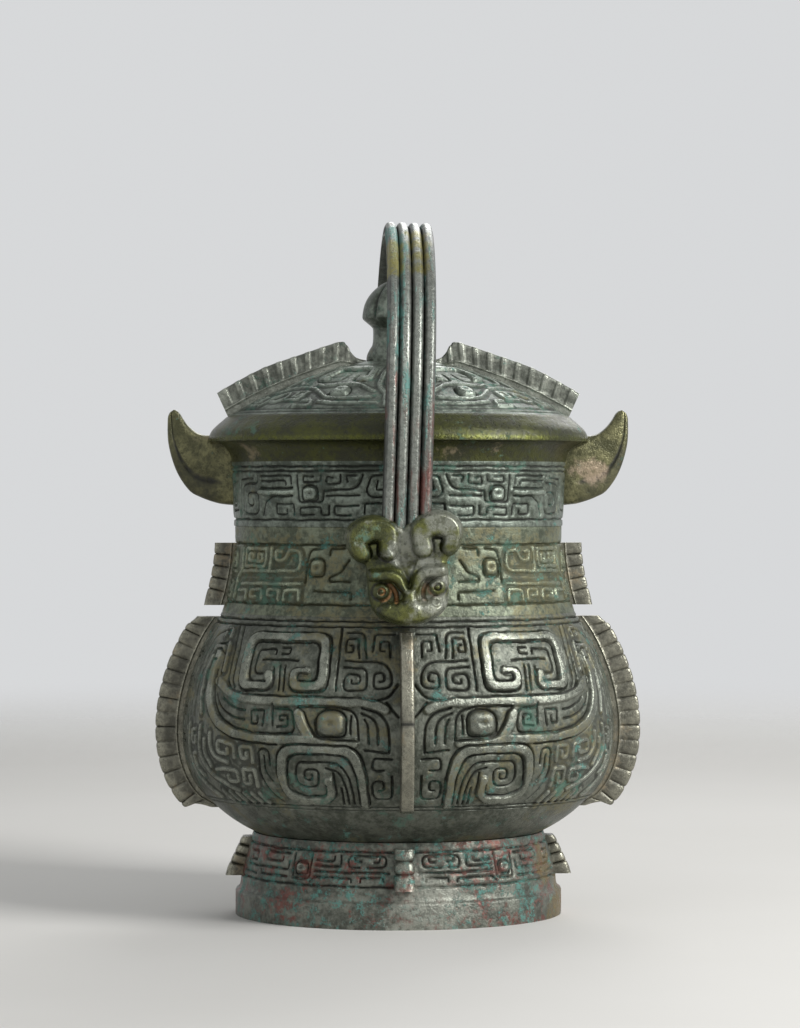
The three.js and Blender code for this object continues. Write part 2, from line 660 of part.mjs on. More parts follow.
// An upturned hook: a broad root on the lid's wall, sweeping out and up to a blunt tip.
function lidHorn() {
  const root = LID_FLARE_Z - HORN_ROOT_DROP;
  const saddle = LID_FLARE_Z + HORN_SADDLE_RISE;
  const tip = LID_FLARE_Z + HORN_TIP_RISE;
  const shape = new THREE.Shape();
  shape.moveTo(LID_SKIRT_INNER, root);
  shape.lineTo(LID_SKIRT_OUTER + HORN_ROOT_LENGTH, root + HORN_ROOT_RISE);
  shape.bezierCurveTo(
    HORN_REACH - HORN_CURVE_INSET,
    root + 2 * HORN_ROOT_RISE,
    HORN_REACH,
    root + HORN_CURVE_HEIGHT,
    HORN_REACH,
    tip - HORN_TIP_WIDTH / 2,
  );
  const tipRadius = HORN_TIP_WIDTH / 2;
  shape.absarc(HORN_REACH - tipRadius, tip - tipRadius, tipRadius, 0, Math.PI);
  shape.bezierCurveTo(
    HORN_REACH - HORN_TIP_WIDTH - HORN_THROAT_WIDTH,
    saddle,
    LID_FLARE_HALF_WIDTH,
    saddle - HORN_SADDLE_RISE,
    LID_ROOF_HALF_WIDTH,
    saddle + LID_BAND_HEIGHT / 2,
  );
  shape.lineTo(LID_SKIRT_INNER, saddle);
  return toSolid(uprightPlate(shape, HORN_THICKNESS, HORN_BEVEL));
}

// A bud-shaped cap on a stout stem.
function lidKnob() {
  const capLow = KNOB_HEIGHT - KNOB_CAP_HEIGHT;
  const crown = KNOB_HEIGHT - KNOB_CROWN_RISE;
  const cap = new THREE.QuadraticBezierCurve(
    point(KNOB_CAP_RADIUS, capLow),
    point(KNOB_CAP_RADIUS, (capLow + 2 * crown) / 3),
    point(KNOB_CROWN_RADIUS, crown),
  );
  const buried = -LID_ROOF_RISE / 2;
  const profile = [
    point(0, buried),
    point(KNOB_FOOT_RADIUS, buried),
    point(KNOB_FOOT_RADIUS, 0),
    point(KNOB_STEM_RADIUS, KNOB_FOOT_HEIGHT),
    point(KNOB_STEM_RADIUS, capLow - KNOB_CAP_UNDERCUT),
    ...cap.getPoints(CAP_STEPS),
    point(0, KNOB_HEIGHT),
  ];
  return ovalRevolve(profile, 1, KNOB_SEGMENTS).translate([0, 0, LID_TOP_Z]);
}

function lid() {
  const group = new THREE.Group();
  group.position.z = LID_Z;
  const shell = keepOut(lidOuter);
  group.add(piece("lid_shell", lidShell(), LID_BRONZE));
  group.add(piece("lid_knob", lidKnob().subtract(shell), LID_BRONZE));
  for (const { side, turn } of SIDES.slice(0, 2)) {
    const crest = lidFlange().subtract(shell);
    const flange = piece(`lid_flange_${side}`, crest, FLANGE_BRONZE);
    const horn = piece(`lid_horn_${side}`, lidHorn().subtract(shell), LID_BRONZE);
    flange.rotation.z = turn;
    horn.rotation.z = turn;
    group.add(flange, horn);
  }
  return group;
}

// Lugs and bail

const neckDepth = halfWidthAt(neck, HINGE_Z) * DEPTH_RATIO; // neck wall at the hinge, from the centre
const lugBar = neckDepth + LUG_REACH; // middle of the lug's bar, from the centre
const maskBack = lugBar + RING_END_BITE; // back of the mask, from the centre

// A staple of round bar that stands out of the neck at the front.
function lug() {
  const path = new THREE.CurvePath();
  const corner = (x, y) => new THREE.Vector3(x, -y, HINGE_Z);
  const start = neckDepth - FLANGE_BITE;
  const straight = lugBar - LUG_CORNER;
  const flat = LUG_HALF_SPAN - LUG_CORNER;
  path.add(new THREE.LineCurve3(corner(-LUG_HALF_SPAN, start), corner(-LUG_HALF_SPAN, straight)));
  path.add(
    new THREE.QuadraticBezierCurve3(
      corner(-LUG_HALF_SPAN, straight),
      corner(-LUG_HALF_SPAN, lugBar),
      corner(-flat, lugBar),
    ),
  );
  path.add(new THREE.LineCurve3(corner(-flat, lugBar), corner(flat, lugBar)));
  path.add(
    new THREE.QuadraticBezierCurve3(
      corner(flat, lugBar),
      corner(LUG_HALF_SPAN, lugBar),
      corner(LUG_HALF_SPAN, straight),
    ),
  );
  path.add(new THREE.LineCurve3(corner(LUG_HALF_SPAN, straight), corner(LUG_HALF_SPAN, start)));
  return toSolid(bar(path, LUG_BAR_RADIUS, RING_STEPS)).subtract(keepOut(vesselOuter));
}

// The bail's line in the YZ plane: up one leg, over a half circle and down the other leg.
// Each straight leg is one step, and the half circle has the rest in even steps.
class BailLine extends THREE.Curve {
  constructor(halfSpan, foot, apex, steps) {
    super();
    this.halfSpan = halfSpan;
    this.foot = foot;
    this.spring = apex - halfSpan;
    this.steps = steps;
  }
  getUtoTmapping(u) {
    return u;
  }
  getPoint(t) {
    const step = t * this.steps;
    const leg = this.spring - this.foot;
    if (step < 1) return new THREE.Vector3(0, -this.halfSpan, this.foot + step * leg);
    if (step > this.steps - 1) {
      return new THREE.Vector3(0, this.halfSpan, this.foot + (this.steps - step) * leg);
    }
    const angle = Math.PI * (1 - (step - 1) / (this.steps - 2));
    return new THREE.Vector3(
      0,
      this.halfSpan * Math.cos(angle),
      this.spring + this.halfSpan * Math.sin(angle),
    );
  }
}

// A flat strap with rounded ridges along its outer face.
function bailStrap() {
  const inner = maskBack + STRAP_SET;
  const pitch = STRAP_WIDTH / STRAP_RIDGES;
  const section = [point(0, -STRAP_WIDTH / 2)];
  for (let ridge = 0; ridge < STRAP_RIDGES; ridge++) {
    const middle = -STRAP_WIDTH / 2 + pitch * (ridge + 0.5);
    for (const angle of [0, 60, 120].map(THREE.MathUtils.degToRad)) {
      section.push(
        point(
          STRAP_PLATE + STRAP_RIDGE_HEIGHT * Math.sin(angle),
          middle - (pitch / 2) * Math.cos(angle),
        ),
      );
    }
  }
  section.push(point(STRAP_PLATE, STRAP_WIDTH / 2), point(0, STRAP_WIDTH / 2));
  const line = new BailLine(inner, STRAP_FOOT, BAIL_INNER_APEX, STRAP_STEPS);
  return toSolid(
    new THREE.ExtrudeGeometry(new THREE.Shape(section), {
      extrudePath: line,
      steps: STRAP_STEPS,
      bevelEnabled: false,
    }),
  );
}

// An upright ring through the lug, open where its two arms meet the mask's back.
function bailRing() {
  const reach = LUG_BAR_RADIUS + RING_WIRE_RADIUS + 2 * LINK_CLEARANCE;
  const loop = new THREE.EllipseCurve(0, 0, reach, RING_HALF_HEIGHT, 0, 2 * Math.PI);
  const points = loop.getPoints(RING_STEPS).slice(0, -1);
  const path = new THREE.CatmullRomCurve3(
    points.map((p) => new THREE.Vector3(0, p.x - lugBar, p.y)),
    true,
  );
  const ring = toSolid(bar(path, RING_WIRE_RADIUS, RING_STEPS));
  const block = new THREE.BoxGeometry(4 * RING_HALF_HEIGHT, maskBack, 4 * RING_HALF_HEIGHT);
  block.translate(0, -1.5 * maskBack + SEAT_GAP, 0);
  return ring.subtract(toSolid(block));
}

// A plate in the mask's plane, between two distances in front of its back.
function maskPlate(shape, from, to, rounding) {
  const plate = uprightPlate(shape, to - from, rounding, MASK_STEPS);
  return plate.translate(0, -(from + to) / 2, 0);
}

// A horn of the mask: an inverted horseshoe with round ends.
function maskHorn(sign) {
  const inner = MASK_HORN_RADIUS - MASK_HORN_BAND;
  const middle = MASK_HORN_RADIUS - MASK_HORN_BAND / 2;
  const centre = MASK_HORN_TOP - MASK_HORN_RADIUS;
  const x = sign * MASK_HORN_SPACING;
  const end = MASK_HORN_BAND / 2;
  const shape = new THREE.Shape();
  shape.absarc(x, centre, MASK_HORN_RADIUS, 0, Math.PI);
  shape.absarc(x - middle, centre - MASK_HORN_LEG, end, Math.PI, 2 * Math.PI);
  shape.absarc(x, centre, inner, Math.PI, 0, true);
  shape.absarc(x + middle, centre - MASK_HORN_LEG, end, Math.PI, 2 * Math.PI);
  return maskPlate(
    shape,
    STRAP_SET + STRAP_THICKNESS + SEAT_GAP,
    MASK_DEPTH,
    MASK_HORN_ROUNDING,
  );
}

// An ellipsoid on the mask, at (x, height) and a distance in front of its back.
function maskBoss(halfSizes, x, height, out) {
  const boss = new THREE.SphereGeometry(1, 4 * MASK_STEPS, 2 * MASK_STEPS);
  boss.scale(halfSizes.x, halfSizes.z, halfSizes.y);
  return boss.translate(x, -out, height);
}

// An animal's face hanging below its horns, in the frame of the hinge axis.
function bailMask() {
  const top = STRAP_FOOT - SEAT_GAP;
  const face = new THREE.Shape();
  face.moveTo(-MASK_BROW_HALF_WIDTH, top);
  face.lineTo(-MASK_CHEEK_HALF_WIDTH, -MASK_CHEEK_DROP);
  face.bezierCurveTo(
    -MASK_CHEEK_HALF_WIDTH,
    -MASK_JAW_DROP,
    -MASK_JAW_PULL,
    -MASK_CHIN,
    0,
    -MASK_CHIN,
  );
  face.bezierCurveTo(
    MASK_JAW_PULL,
    -MASK_CHIN,
    MASK_CHEEK_HALF_WIDTH,
    -MASK_JAW_DROP,
    MASK_CHEEK_HALF_WIDTH,
    -MASK_CHEEK_DROP,
  );
  face.lineTo(MASK_BROW_HALF_WIDTH, top);
  const eye = new THREE.Vector3(MASK_EYE_RADIUS, MASK_EYE_RADIUS, MASK_EYE_RADIUS);
  const front = MASK_DEPTH - MASK_ROUNDING;
  const solid = joinAll([
    maskPlate(face, 0, front, MASK_ROUNDING),
    maskHorn(-1),
    maskHorn(1),
    maskBoss(MASK_SNOUT, 0, MASK_SNOUT.y - MASK_CHIN, front - MASK_BOSS_SINK),
    maskBoss(eye, -MASK_EYE_SPREAD, -MASK_EYE_DROP, front - MASK_BOSS_SINK),
    maskBoss(eye, MASK_EYE_SPREAD, -MASK_EYE_DROP, front - MASK_BOSS_SINK),
  ]);
  return solid.translate([0, -maskBack, 0]);
}

function lugs() {
  return SIDES.slice(2).map(({ side, turn }) => {
    const mesh = piece(`bail_lug_${side}`, lug(), BODY_BRONZE);
    mesh.rotation.z = turn + Math.PI / 2;
    return mesh;
  });
}

function bail() {
  const group = new THREE.Group();
  group.position.z = HINGE_Z;
  group.rotation.y = THREE.MathUtils.degToRad(BAIL_LEAN);
  group.add(piece("bail_strap", bailStrap(), BAIL_BRONZE));
  for (const { side, turn } of SIDES.slice(2)) {
    const mask = piece(`bail_mask_${side}`, bailMask(), BAIL_BRONZE);
    const ring = piece(`bail_ring_${side}`, bailRing(), BAIL_BRONZE);
    mask.rotation.z = turn + Math.PI / 2;
    ring.rotation.z = turn + Math.PI / 2;
    group.add(mask, ring);
  }
  return group;
}

const vessel = new THREE.Group();
vessel.add(piece("vessel_body", vesselBody(), BODY_BRONZE));
vessel.add(piece("foot_ring", footRing(), BODY_BRONZE));
vessel.add(...vesselFlanges(), ...footFlanges(), ...lugs(), lid(), bail());

export default vessel;
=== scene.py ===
"""Finished surfaces of a bronze lidded wine vessel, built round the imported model.

Lengths are millimetres until a mesh is filled, and metres in Blender. X runs to the right of the
front view, -Y faces the viewer and Z is up from the floor.
"""

import math

import bpy
import numpy as np
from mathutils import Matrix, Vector


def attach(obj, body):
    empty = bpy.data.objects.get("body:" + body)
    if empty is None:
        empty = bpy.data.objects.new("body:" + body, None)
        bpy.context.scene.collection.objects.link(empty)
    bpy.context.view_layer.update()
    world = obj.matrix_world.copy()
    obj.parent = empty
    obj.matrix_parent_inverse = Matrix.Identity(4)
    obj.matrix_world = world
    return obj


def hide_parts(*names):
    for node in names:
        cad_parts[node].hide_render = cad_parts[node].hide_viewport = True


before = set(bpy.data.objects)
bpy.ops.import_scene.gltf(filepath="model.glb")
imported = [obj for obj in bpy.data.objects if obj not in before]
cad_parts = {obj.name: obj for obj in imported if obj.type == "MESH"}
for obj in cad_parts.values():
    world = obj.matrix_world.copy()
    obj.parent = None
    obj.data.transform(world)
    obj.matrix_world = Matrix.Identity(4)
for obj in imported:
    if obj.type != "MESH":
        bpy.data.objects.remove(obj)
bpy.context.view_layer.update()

MM = 0.001
SHARP_ANGLE = math.radians(58)  # edges sharper than this show as creases

# Walls, as control points of (half-width, height)
DEPTH_RATIO = 0.82  # front-to-back size of the oval plan over its width
WALL = 3.2
UNDER_BELLY = [(55.5, 32), (66.5, 37.1), (73.5, 44.8)]
BELLY = [(73.5, 44.8), (91, 58), (84.5, 95), (68.6, 117.3)]
NECK = [(68.6, 117.3), (62.85, 133.9), (63.5, 150.5)]
COLLAR = [(59.5, 150.5), (59.5, 170.7), (58.7, 171.5), (57.1, 171.5), (56.3, 170.7), (56.3, 148.9)]
FLOOR = [(53.3, 36), (40, 36), (3, 36)]
UNDERSIDE = [(3, 32), (30, 32)]
FOOT_BASE = [(63.5, 0), (63.5, 9), (63.2, 9.8), (62.4, 10.2), (61.8, 11), (61.4, 12.8), (61.3, 14.7)]
FOOT_BAND = [(61.3, 14.7), (57.2, 30)]
FOOT_INSIDE = [(56.5, 32), (52.5, 32), (57.3, 12.5), (59.5, 0)]
LID_WALL = [(63.9, 150.8), (65.1, 175.3)]
LID_COVE = [(65.1, 175.3), (66.1, 183.3), (74.2, 183.3)]
LID_BAND = [(74.2, 184.3), (72.3, 188), (67, 192.8)]
LID_INSIDE = [(66, 193.3), (62.4, 190.4), (61.7, 175.3), (60.3, 150.8)]
ROOF = [(66, 193.3), (33, 212.55), (0, 216.8)]
ROOF_THICKNESS = 3.2
ROOF_HOLE = 9  # half-width of the roof's flat middle under the knob
LIP_HIGHLIGHT_HEIGHT = 1.0  # of the painted highlight along the lid's edge

# Sampling: numbers of points along lines, spacings in millimetres, and rows and columns of points
FINE_STEPS = 2000
CURVE_STEPS = 400
FLANGE_CURVE_STEPS = 600
CARVING_STEP = 0.32
BAND_STEP = 0.4
ROOF_STEP = 0.56
FLANGE_STEP = 0.26
UNDERSIDE_STEP = 1
LID_EDGE_STEP = 0.9
BELLY_INSIDE_STEP = 7
NECK_INSIDE_STEP = 5
UNDERSIDE_INSIDE_STEP = 4
ROOF_INSIDE_STEP = 8
UNDERSIDE_COLUMNS = 80
LID_EDGE_COLUMNS = 160
DOT_STEP = 0.14  # spacing of the dots that stand for a stroke
CORNER_STEPS = 7
FACE_STEPS = 15
BEVEL_STEPS = 6
ROWS = 150
COLUMNS = 128
KNOB_COLUMNS = 192
STRAP_ROWS = 300
STRAP_FRONT_STEPS = 97
STRAP_BACK_STEPS = 24
MASK_STEPS = 220
MASK_DISCS = 90
MASK_RINGS = 80
MASK_RIM_RINGS = 14

# Relief
STROKE_REACH = 2.6  # distance at which a stroke stops mattering
COIL_PITCH = 2.0
GROOVE_FLOOR = 0.16  # half-width of a groove's floor
GROOVE_SHOULDER = 0.6  # half-width of a groove at its rim
CROWN = 0.14  # how much the ground between grooves swells
RELIEF_HEIGHT = 1.1  # how far the main bands stand proud
BAND_EDGE = 0.5  # half-width of the slope at a band's side
RIDGE_TOP = 0.5  # half-width of a fine ridge's top
RIDGE_FOOT = 0.95  # half-width of a fine ridge at its foot
RIDGE_HEIGHT = 0.75
GROUND_SHADE = 0.66  # hollowness of the ground between fine ridges
GROUND_REACH = 0.8 * STROKE_REACH  # how far from a ridge that ground begins to fade
EYE_MARGIN = 0.5  # from an eye's edge to the groove round it
COIL_BEND = 0.7
PUPIL_STRETCH = 1.3  # a pupil's width over its height, when the eye's own is 1
WOBBLE = 0.09  # unevenness of the cut lines
WORN = 0.6  # how far below zero hollowness goes on a band's worn top

# Flanges; a side has a turn about Z and a size of the plan there over its width
SIDES = {
    "right": (0, 1),
    "left": (math.pi, 1),
    "front": (-math.pi / 2, DEPTH_RATIO),
    "back": (math.pi / 2, DEPTH_RATIO),
}
FLANGE_SINK = 1.6  # how far a flange's root lies inside its wall
FLANGE_LEVEL = 0.14  # share of a flange over which its end turns level
RIB_START = 0.1  # share of a flange's depth over which its ribs begin
BAR_TOP = 0.24  # half-width of a narrow bar's top, over half a rib
BAR_FOOT = 0.5
BEAD_WIDTH = 0.035  # as a share of the flange's depth
BEAD_SAMPLES = np.linspace(-0.06, 0.06, 7)
BELLY_FLANGE_DEPTH = 10.74
BELLY_FLANGE_SWELL = 0.2
NECK_FLANGE_DEPTH = 8.0
FOOT_FLANGE_DEPTH = 6.2
FOOT_FLANGE_TAPER = 0.45
CREST_ENDS = (12.6, 66)  # distances from the axis
CREST_RIBS = 11
CREST_LINE = [(12.7, 215.1), (16.2, 216), (18.6, 218.4), (20.4, 221.3), (23.4, 222.2), (38, 217.4),
              (52.3, 212.3), (65.2, 205.6), (70.6, 202.2)]
BEADED = {"bead": 0.35}
SMOOTH = {"thickness": 4.8, "nick": 0.0, "rib_depth": 0.0, "bevel": 1.1}
HOOKS = {"thickness": 7.4, "nick": 0.4, "rib_depth": 1.6, "plain": 0.2, "bevel": 1.8, "shade": 0.4}
STUDS = {**HOOKS, "thickness": 7.8, "nick": 0.9, "rib_depth": 2.2, "bevel": 2.6}
BARS = {"thickness": 5.4, "nick": 0.15, "rib_depth": 0.6, "plain": 0.4, "bead": 0.3, "shade": 0.4}

# Horns and knob of the lid, as (distance from the axis, height)
LID_HORN_OUTER = [(62, 158.6), (66, 158.8), (70.6, 159.5), (76.9, 161.7), (81.6, 164.6), (86.4, 172),
                  (89.4, 182), (89.8, 191), (89.2, 194.2), (87.6, 195.6)]
LID_HORN_INNER = [(62, 191), (65.3, 190.4), (70.2, 187), (73.9, 185.8), (78, 186.6), (81.2, 189),
                  (83.6, 192), (84.9, 194.2), (86, 195.3), (87, 195.7)]
LID_HORN_ROOT = 10  # thickness at the root
LID_HORN_THINNING = 5.2  # how much thinner the tip is
LID_HORN_GROOVE = 0.32  # the groove's place between the outer line and the inner one
LID_HORN_GROOVE_WIDTH = 0.05
LID_HORN_GROOVE_DEPTH = 0.16
KNOB_PROFILE = [(12.4, 212.5), (12.4, 216.4), (11.4, 219), (10.1, 221.5), (9.9, 226.6), (10.6, 228.2),
                (13.4, 230.6), (14.1, 231.8), (13.9, 234), (13.2, 237), (11.6, 240), (8.8, 243),
                (5.2, 245.3), (0.6, 246.2)]
KNOB_CAP_START = (229.5, 232)  # heights between which the seams begin
KNOB_CAP_END = (243, 246)
KNOB_PETALS = 8
KNOB_SEAM = 0.34  # share of a petal that slopes into its seam
KNOB_PINCH = 0.075  # depth of a seam as a share of the radius

# Hinge of the bail, and its strap
HINGE_Z = 136
BAIL_LEAN = math.radians(1.75)
STRAP_INNER = 65.9  # half of the bail's inner span
STRAP_FOOT = 9
STRAP_APEX = 127.3  # inner top of the arch over the hinge
STRAP_WIDTH = 18.2
STRAP_SHIFT = -0.6  # the strap's middle, across from the bail's
STRAP_PLATE = 3.2
STRAP_RIDGES = 4
STRAP_RIDGE_HEIGHT = 2.0
STRAP_GROOVE = 1.5  # how far the grooves between ridges cut into the plate
STRAP_BACK_SWELL = 0.25

# Masks: right halves of their lines, as (across, height) from the hinge; a third number is a half-width
MASK_OUTLINE = [(0, 15.2), (3.2, 17.4), (6.9, 19.4), (11.5, 20.5), (16.4, 19.6), (20.1, 17), (21.8, 13.6),
                (21.5, 10), (20.2, 6.2), (18.2, 3.8), (16, 2.7), (15, 1), (15, -2), (14.9, -8),
                (14.2, -13.4), (12, -17.2), (7.1, -20.1), (2.4, -21.4), (0, -21.5)]
MASK_CENTRE = (0, 3)
MASK_HORN = [(6.3, 6.8, 3.8), (6.1, 10.4, 3.8), (7, 14, 4.6), (11.2, 15.4, 4.9), (15.6, 14.4, 4.9),
             (17.7, 11.2, 4), (17.5, 8.2, 3.8), (16.6, 6.3, 3.5)]
MASK_BROW = [(1.5, -8.6, 1.5), (2.6, -6.2, 1.8), (3.9, -3.7, 2.1), (6.8, -2.1, 2.3), (10.4, -1.9, 2.3),
             (15.5, -1.5, 2)]
MASK_NOSE = [(0, -10, 2.6), (0, -12.5, 3.2), (0, -16, 4.2)]
MASK_BARS = ((MASK_HORN, 3.7, 2.3), (MASK_BROW, 3.3, 1.8), (MASK_NOSE, 4.3, 3.0))  # height, rounding
MUZZLE_Z = -16.8
MUZZLE_HALF = (13.6, 5.2)  # half-width and half-height
MUZZLE_HEIGHT = 5.2
FACE_HEIGHT = 1.5
FACE_TOP = (-1, 1.6)  # heights between which the face slopes down to the plate
TONGUE = (11.9, 8.2)
TONGUE_HALF = (5.8, 4.8)
TONGUE_HEIGHT = 1.7
VALLEY_DEPTH = 1.2
VALLEY_FOOT = -7.6
VALLEY_SPREAD = 0.44  # half-width of the valley over its height
CRESCENT = (9.6, -10.4)
CRESCENT_RADIUS = 4.7
CRESCENT_STRETCH = 0.86
CRESCENT_DEPTH = 1.5
EYE = (10.3, -7.8)
EYE_RADIUS = 3.1
EYE_HEIGHT = 2.7
EYE_SHADOW_RADIUS = 3.5  # radius of the shadow round an eye
PUPIL_RADIUS = 1.15
PUPIL_WIDTH = 0.42
CURL = (9.2, -13.1)
CURL_RADIUS = 2.2
CURL_HOLE = 1.1
MASK_PLATE = 7.0
MASK_EDGE = 3.0  # thickness at the rim
MASK_ROUND = 2.6  # how far in from the rim its edge is rounded
MASK_HOLE = 0.01  # size of the innermost ring of points, as a share of the outline
MASK_RIM_SHARE = 0.9
MASK_BACK = 65.2
MASK_TWIST = math.radians(6.5)  # the masks were cast on slightly askew

# Studio, in metres; a lamp has a place, a size and a power
FLOOR_FADE = (0.35, 1.5)  # distances between which the floor fades out
FLOOR_LINE = [(0.004, 0), (0.6, 0), (FLOOR_FADE[1], 0), (FLOOR_FADE[1], -0.002), (0.004, -0.002)]
PAPER_ROUGHNESS = 0.9
AMBIENT = (0.36, 0.37, 0.38)
BACKDROP = (0.68, 0.69, 0.7)
LAMPS = {
    "key": ((0.95, -0.65, 0.75), 0.5, 19),
    "fill": ((-1.3, -1.0, 0.7), 1.2, 2.5),
    "back": ((0.4, 1.3, 1.1), 0.9, 10),
}
LAMP_TARGET = (0, 0, 0.13)
CAMERA_PLACE = (-0.0544, -1.1988, 0.1646)
CAMERA_TARGET = (0.0006, 0, 0.1552)
CAMERA_SENSOR = 36
CAMERA_LENS = 107.75


def ease(low, high, x):
    """0 below low, 1 above high, and 3t^2 - 2t^3 between them."""
    t = np.clip((x - low) / (high - low), 0, 1)
    return t * t * (3 - 2 * t)


def bell(x, width):
    """A bell curve: the exponential of minus the square of x over its width."""
    return np.exp(-((x / width) ** 2))


def pillow(across, upward):
    """A dome over a rounded rectangle: the square root of 1 - |across|^3 - |upward|^3."""
    return np.sqrt(np.clip(1 - np.abs(across) ** 3 - np.abs(upward) ** 3, 0, 1))


def ball(distance, radius):
    """A half sphere of height 1: the square root of 1 less the square of distance over radius."""
    return np.sqrt(np.clip(1 - (distance / radius) ** 2, 0, 1))


def bezier(controls, steps=CURVE_STEPS):
    """Points along a Bezier curve: neighbouring control points are mixed by t until one is left."""
    t = np.linspace(0, 1, steps)[:, None]
    row = [np.asarray(control, float) * np.ones_like(t) for control in controls]
    while len(row) > 1:
        row = [(1 - t) * first + t * second for first, second in zip(row, row[1:])]
    return row[0]


def smooth_line(points, steps):
    """A Catmull-Rom curve: a cubic between each two points, with slopes taken from their neighbours."""
    points = np.asarray(points, float)
    padded = np.vstack([2 * points[0] - points[1], points, 2 * points[-1] - points[-2]])
    place = np.linspace(0, len(points) - 1, steps)
    span = np.minimum(place.astype(int), len(points) - 2)
    t = (place - span)[:, None]
    a, b, c, d = (padded[span + k] for k in range(4))
    return b + t / 2 * (c - a + t * (2 * a - 5 * b + 4 * c - d + t * (3 * (b - c) + d - a)))


def arc_lengths(line):
    """Length along a polyline at each of its points."""
    steps = np.linalg.norm(np.diff(line, axis=0), axis=1)
    return np.concatenate([[0], np.cumsum(steps)])


def even(line, count):
    """A polyline as a number of points at equal lengths along it."""
    line = np.asarray(line, float)
    lengths = arc_lengths(line)
    places = np.linspace(0, lengths[-1], count)
    return np.stack([np.interp(places, lengths, axis) for axis in line.T], axis=-1)


def spaced(line, step):
    """A polyline's points again, at equal lengths of about one step."""
    return even(line, max(2, round(arc_lengths(np.asarray(line, float))[-1] / step) + 1))


def curve(controls, step):
    """A Bezier curve as points at equal lengths of about one step."""
    return spaced(bezier(controls), step)


def full_turn(steps):
    """Equal steps of angle round a full turn."""
    return np.linspace(0, 2 * np.pi, steps, endpoint=False)


def turned(profile, angle, radius):
    """A profile's heights carried round Z at a radius: x = r cos t, y = r sin t."""
    return np.stack([radius * np.cos(angle), radius * np.sin(angle), profile[:, 1:] + 0 * angle], axis=-1)


def line_normals(line, closed=False):
    """Unit normals to the right of a polyline's direction, from the chord between its neighbours."""
    if closed:
        chord = np.roll(line, -1, axis=0) - np.roll(line, 1, axis=0)
    else:
        chord = np.gradient(line, axis=0)
    normal = np.stack([chord[:, 1], -chord[:, 0]], axis=1)
    return normal / np.linalg.norm(normal, axis=1, keepdims=True)


def quarter_angles(count):
    """Angles from the front to the side of the oval plan, at equal lengths along its edge."""
    fine = np.linspace(0, np.pi / 2, FINE_STEPS)
    edge = np.stack([np.sin(fine), -DEPTH_RATIO * np.cos(fine)], axis=1)
    lengths = arc_lengths(edge)
    return np.interp(np.linspace(0, lengths[-1], count), lengths, fine)


def all_round(quarter, turn=0):
    """The whole oval from its front right quarter, mirrored to the back and then to the left.

    For angles, turn is a half turn, and the mirrored angle is taken from it. For heights it is 0.
    """
    back = quarter[-2::-1]
    right = np.concatenate([quarter, turn - back if turn else back])
    left = right[-2:0:-1]
    return np.concatenate([right, 2 * turn - left if turn else left])


def fill_mesh(name, points, closed, hollow_and_shade):
    """A closed mesh from points[i, j]: j runs round a section and i along a path.

    Quads join neighbours, and flat caps close an open path. The faces are turned round where the
    enclosed volume, the sum of a . (b x c) over the triangles, comes out negative.
    """
    along, around = points.shape[:2]
    index = np.arange(along * around).reshape(along, around)
    rings = np.hstack([index, index[:, :1]])
    if closed:
        rings = np.vstack([rings, rings[:1]])
    corners = [rings[:-1, :-1], rings[1:, :-1], rings[1:, 1:], rings[:-1, 1:]]
    quads = np.stack(corners, axis=-1).reshape(-1, 4)
    caps = [] if closed else [index[0], index[-1][::-1]]
    flat = points.reshape(-1, 3)
    fans = [np.stack([np.full(around - 2, cap[0]), cap[1:-1], cap[2:]], axis=1) for cap in caps]
    triangles = np.vstack([quads[:, [0, 1, 2]], quads[:, [0, 2, 3]], *fans])
    first, second, third = (flat[triangles[:, k]] for k in range(3))
    if np.sum(first * np.cross(second, third)) < 0:
        quads = quads[:, ::-1]
        caps = [cap[::-1] for cap in caps]
    loops = np.concatenate([quads.ravel(), *caps])
    starts = np.concatenate([4 * np.arange(len(quads)), 4 * len(quads) + around * np.arange(len(caps))])
    mesh = bpy.data.meshes.new(name)
    mesh.vertices.add(len(flat))
    mesh.vertices.foreach_set("co", (flat * MM).ravel())
    mesh.loops.add(len(loops))
    mesh.loops.foreach_set("vertex_index", loops.astype(np.int32))
    mesh.polygons.add(len(starts))
    mesh.polygons.foreach_set("loop_start", starts.astype(np.int32))
    mesh.update(calc_edges=True)
    mesh.shade_smooth()
    mesh.set_sharp_from_angle(angle=SHARP_ANGLE)
    layer = mesh.attributes.new("hollow_and_shade", "FLOAT", "POINT")
    layer.data.foreach_set("value", np.broadcast_to(hollow_and_shade, points.shape[:2]).ravel().astype(np.float32))
    return mesh


def add_piece(name, points, material, body, node, slot, closed=False, hollow_and_shade=0.0):
    """A finished piece: its mesh, its material, the body it rides on and the solid it stands for."""
    mesh = fill_mesh(name, points, closed, hollow_and_shade)
    mesh.materials.append(material)
    piece = bpy.data.objects.new(name, mesh)
    bpy.context.collection.objects.link(piece)
    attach(piece, body)
    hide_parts(node)
    return piece


# Shader maths


class Value:
    """A shader socket that takes part in arithmetic: each operator adds one Math node."""

    def __init__(self, finish, output):
        self.finish = finish
        self.output = output

    def math(self, operation, *values):
        """One Math node on some values."""
        return self.finish.node("ShaderNodeMath", {"operation": operation}, dict(enumerate(values)))

    def __add__(self, other):
        return self.math("ADD", self, other)

    def __sub__(self, other):
        return self.math("SUBTRACT", self, other)

    def __rsub__(self, other):
        return self.math("SUBTRACT", other, self)

    def __mul__(self, other):
        return self.math("MULTIPLY", self, other)

    __radd__ = __add__
    __rmul__ = __mul__


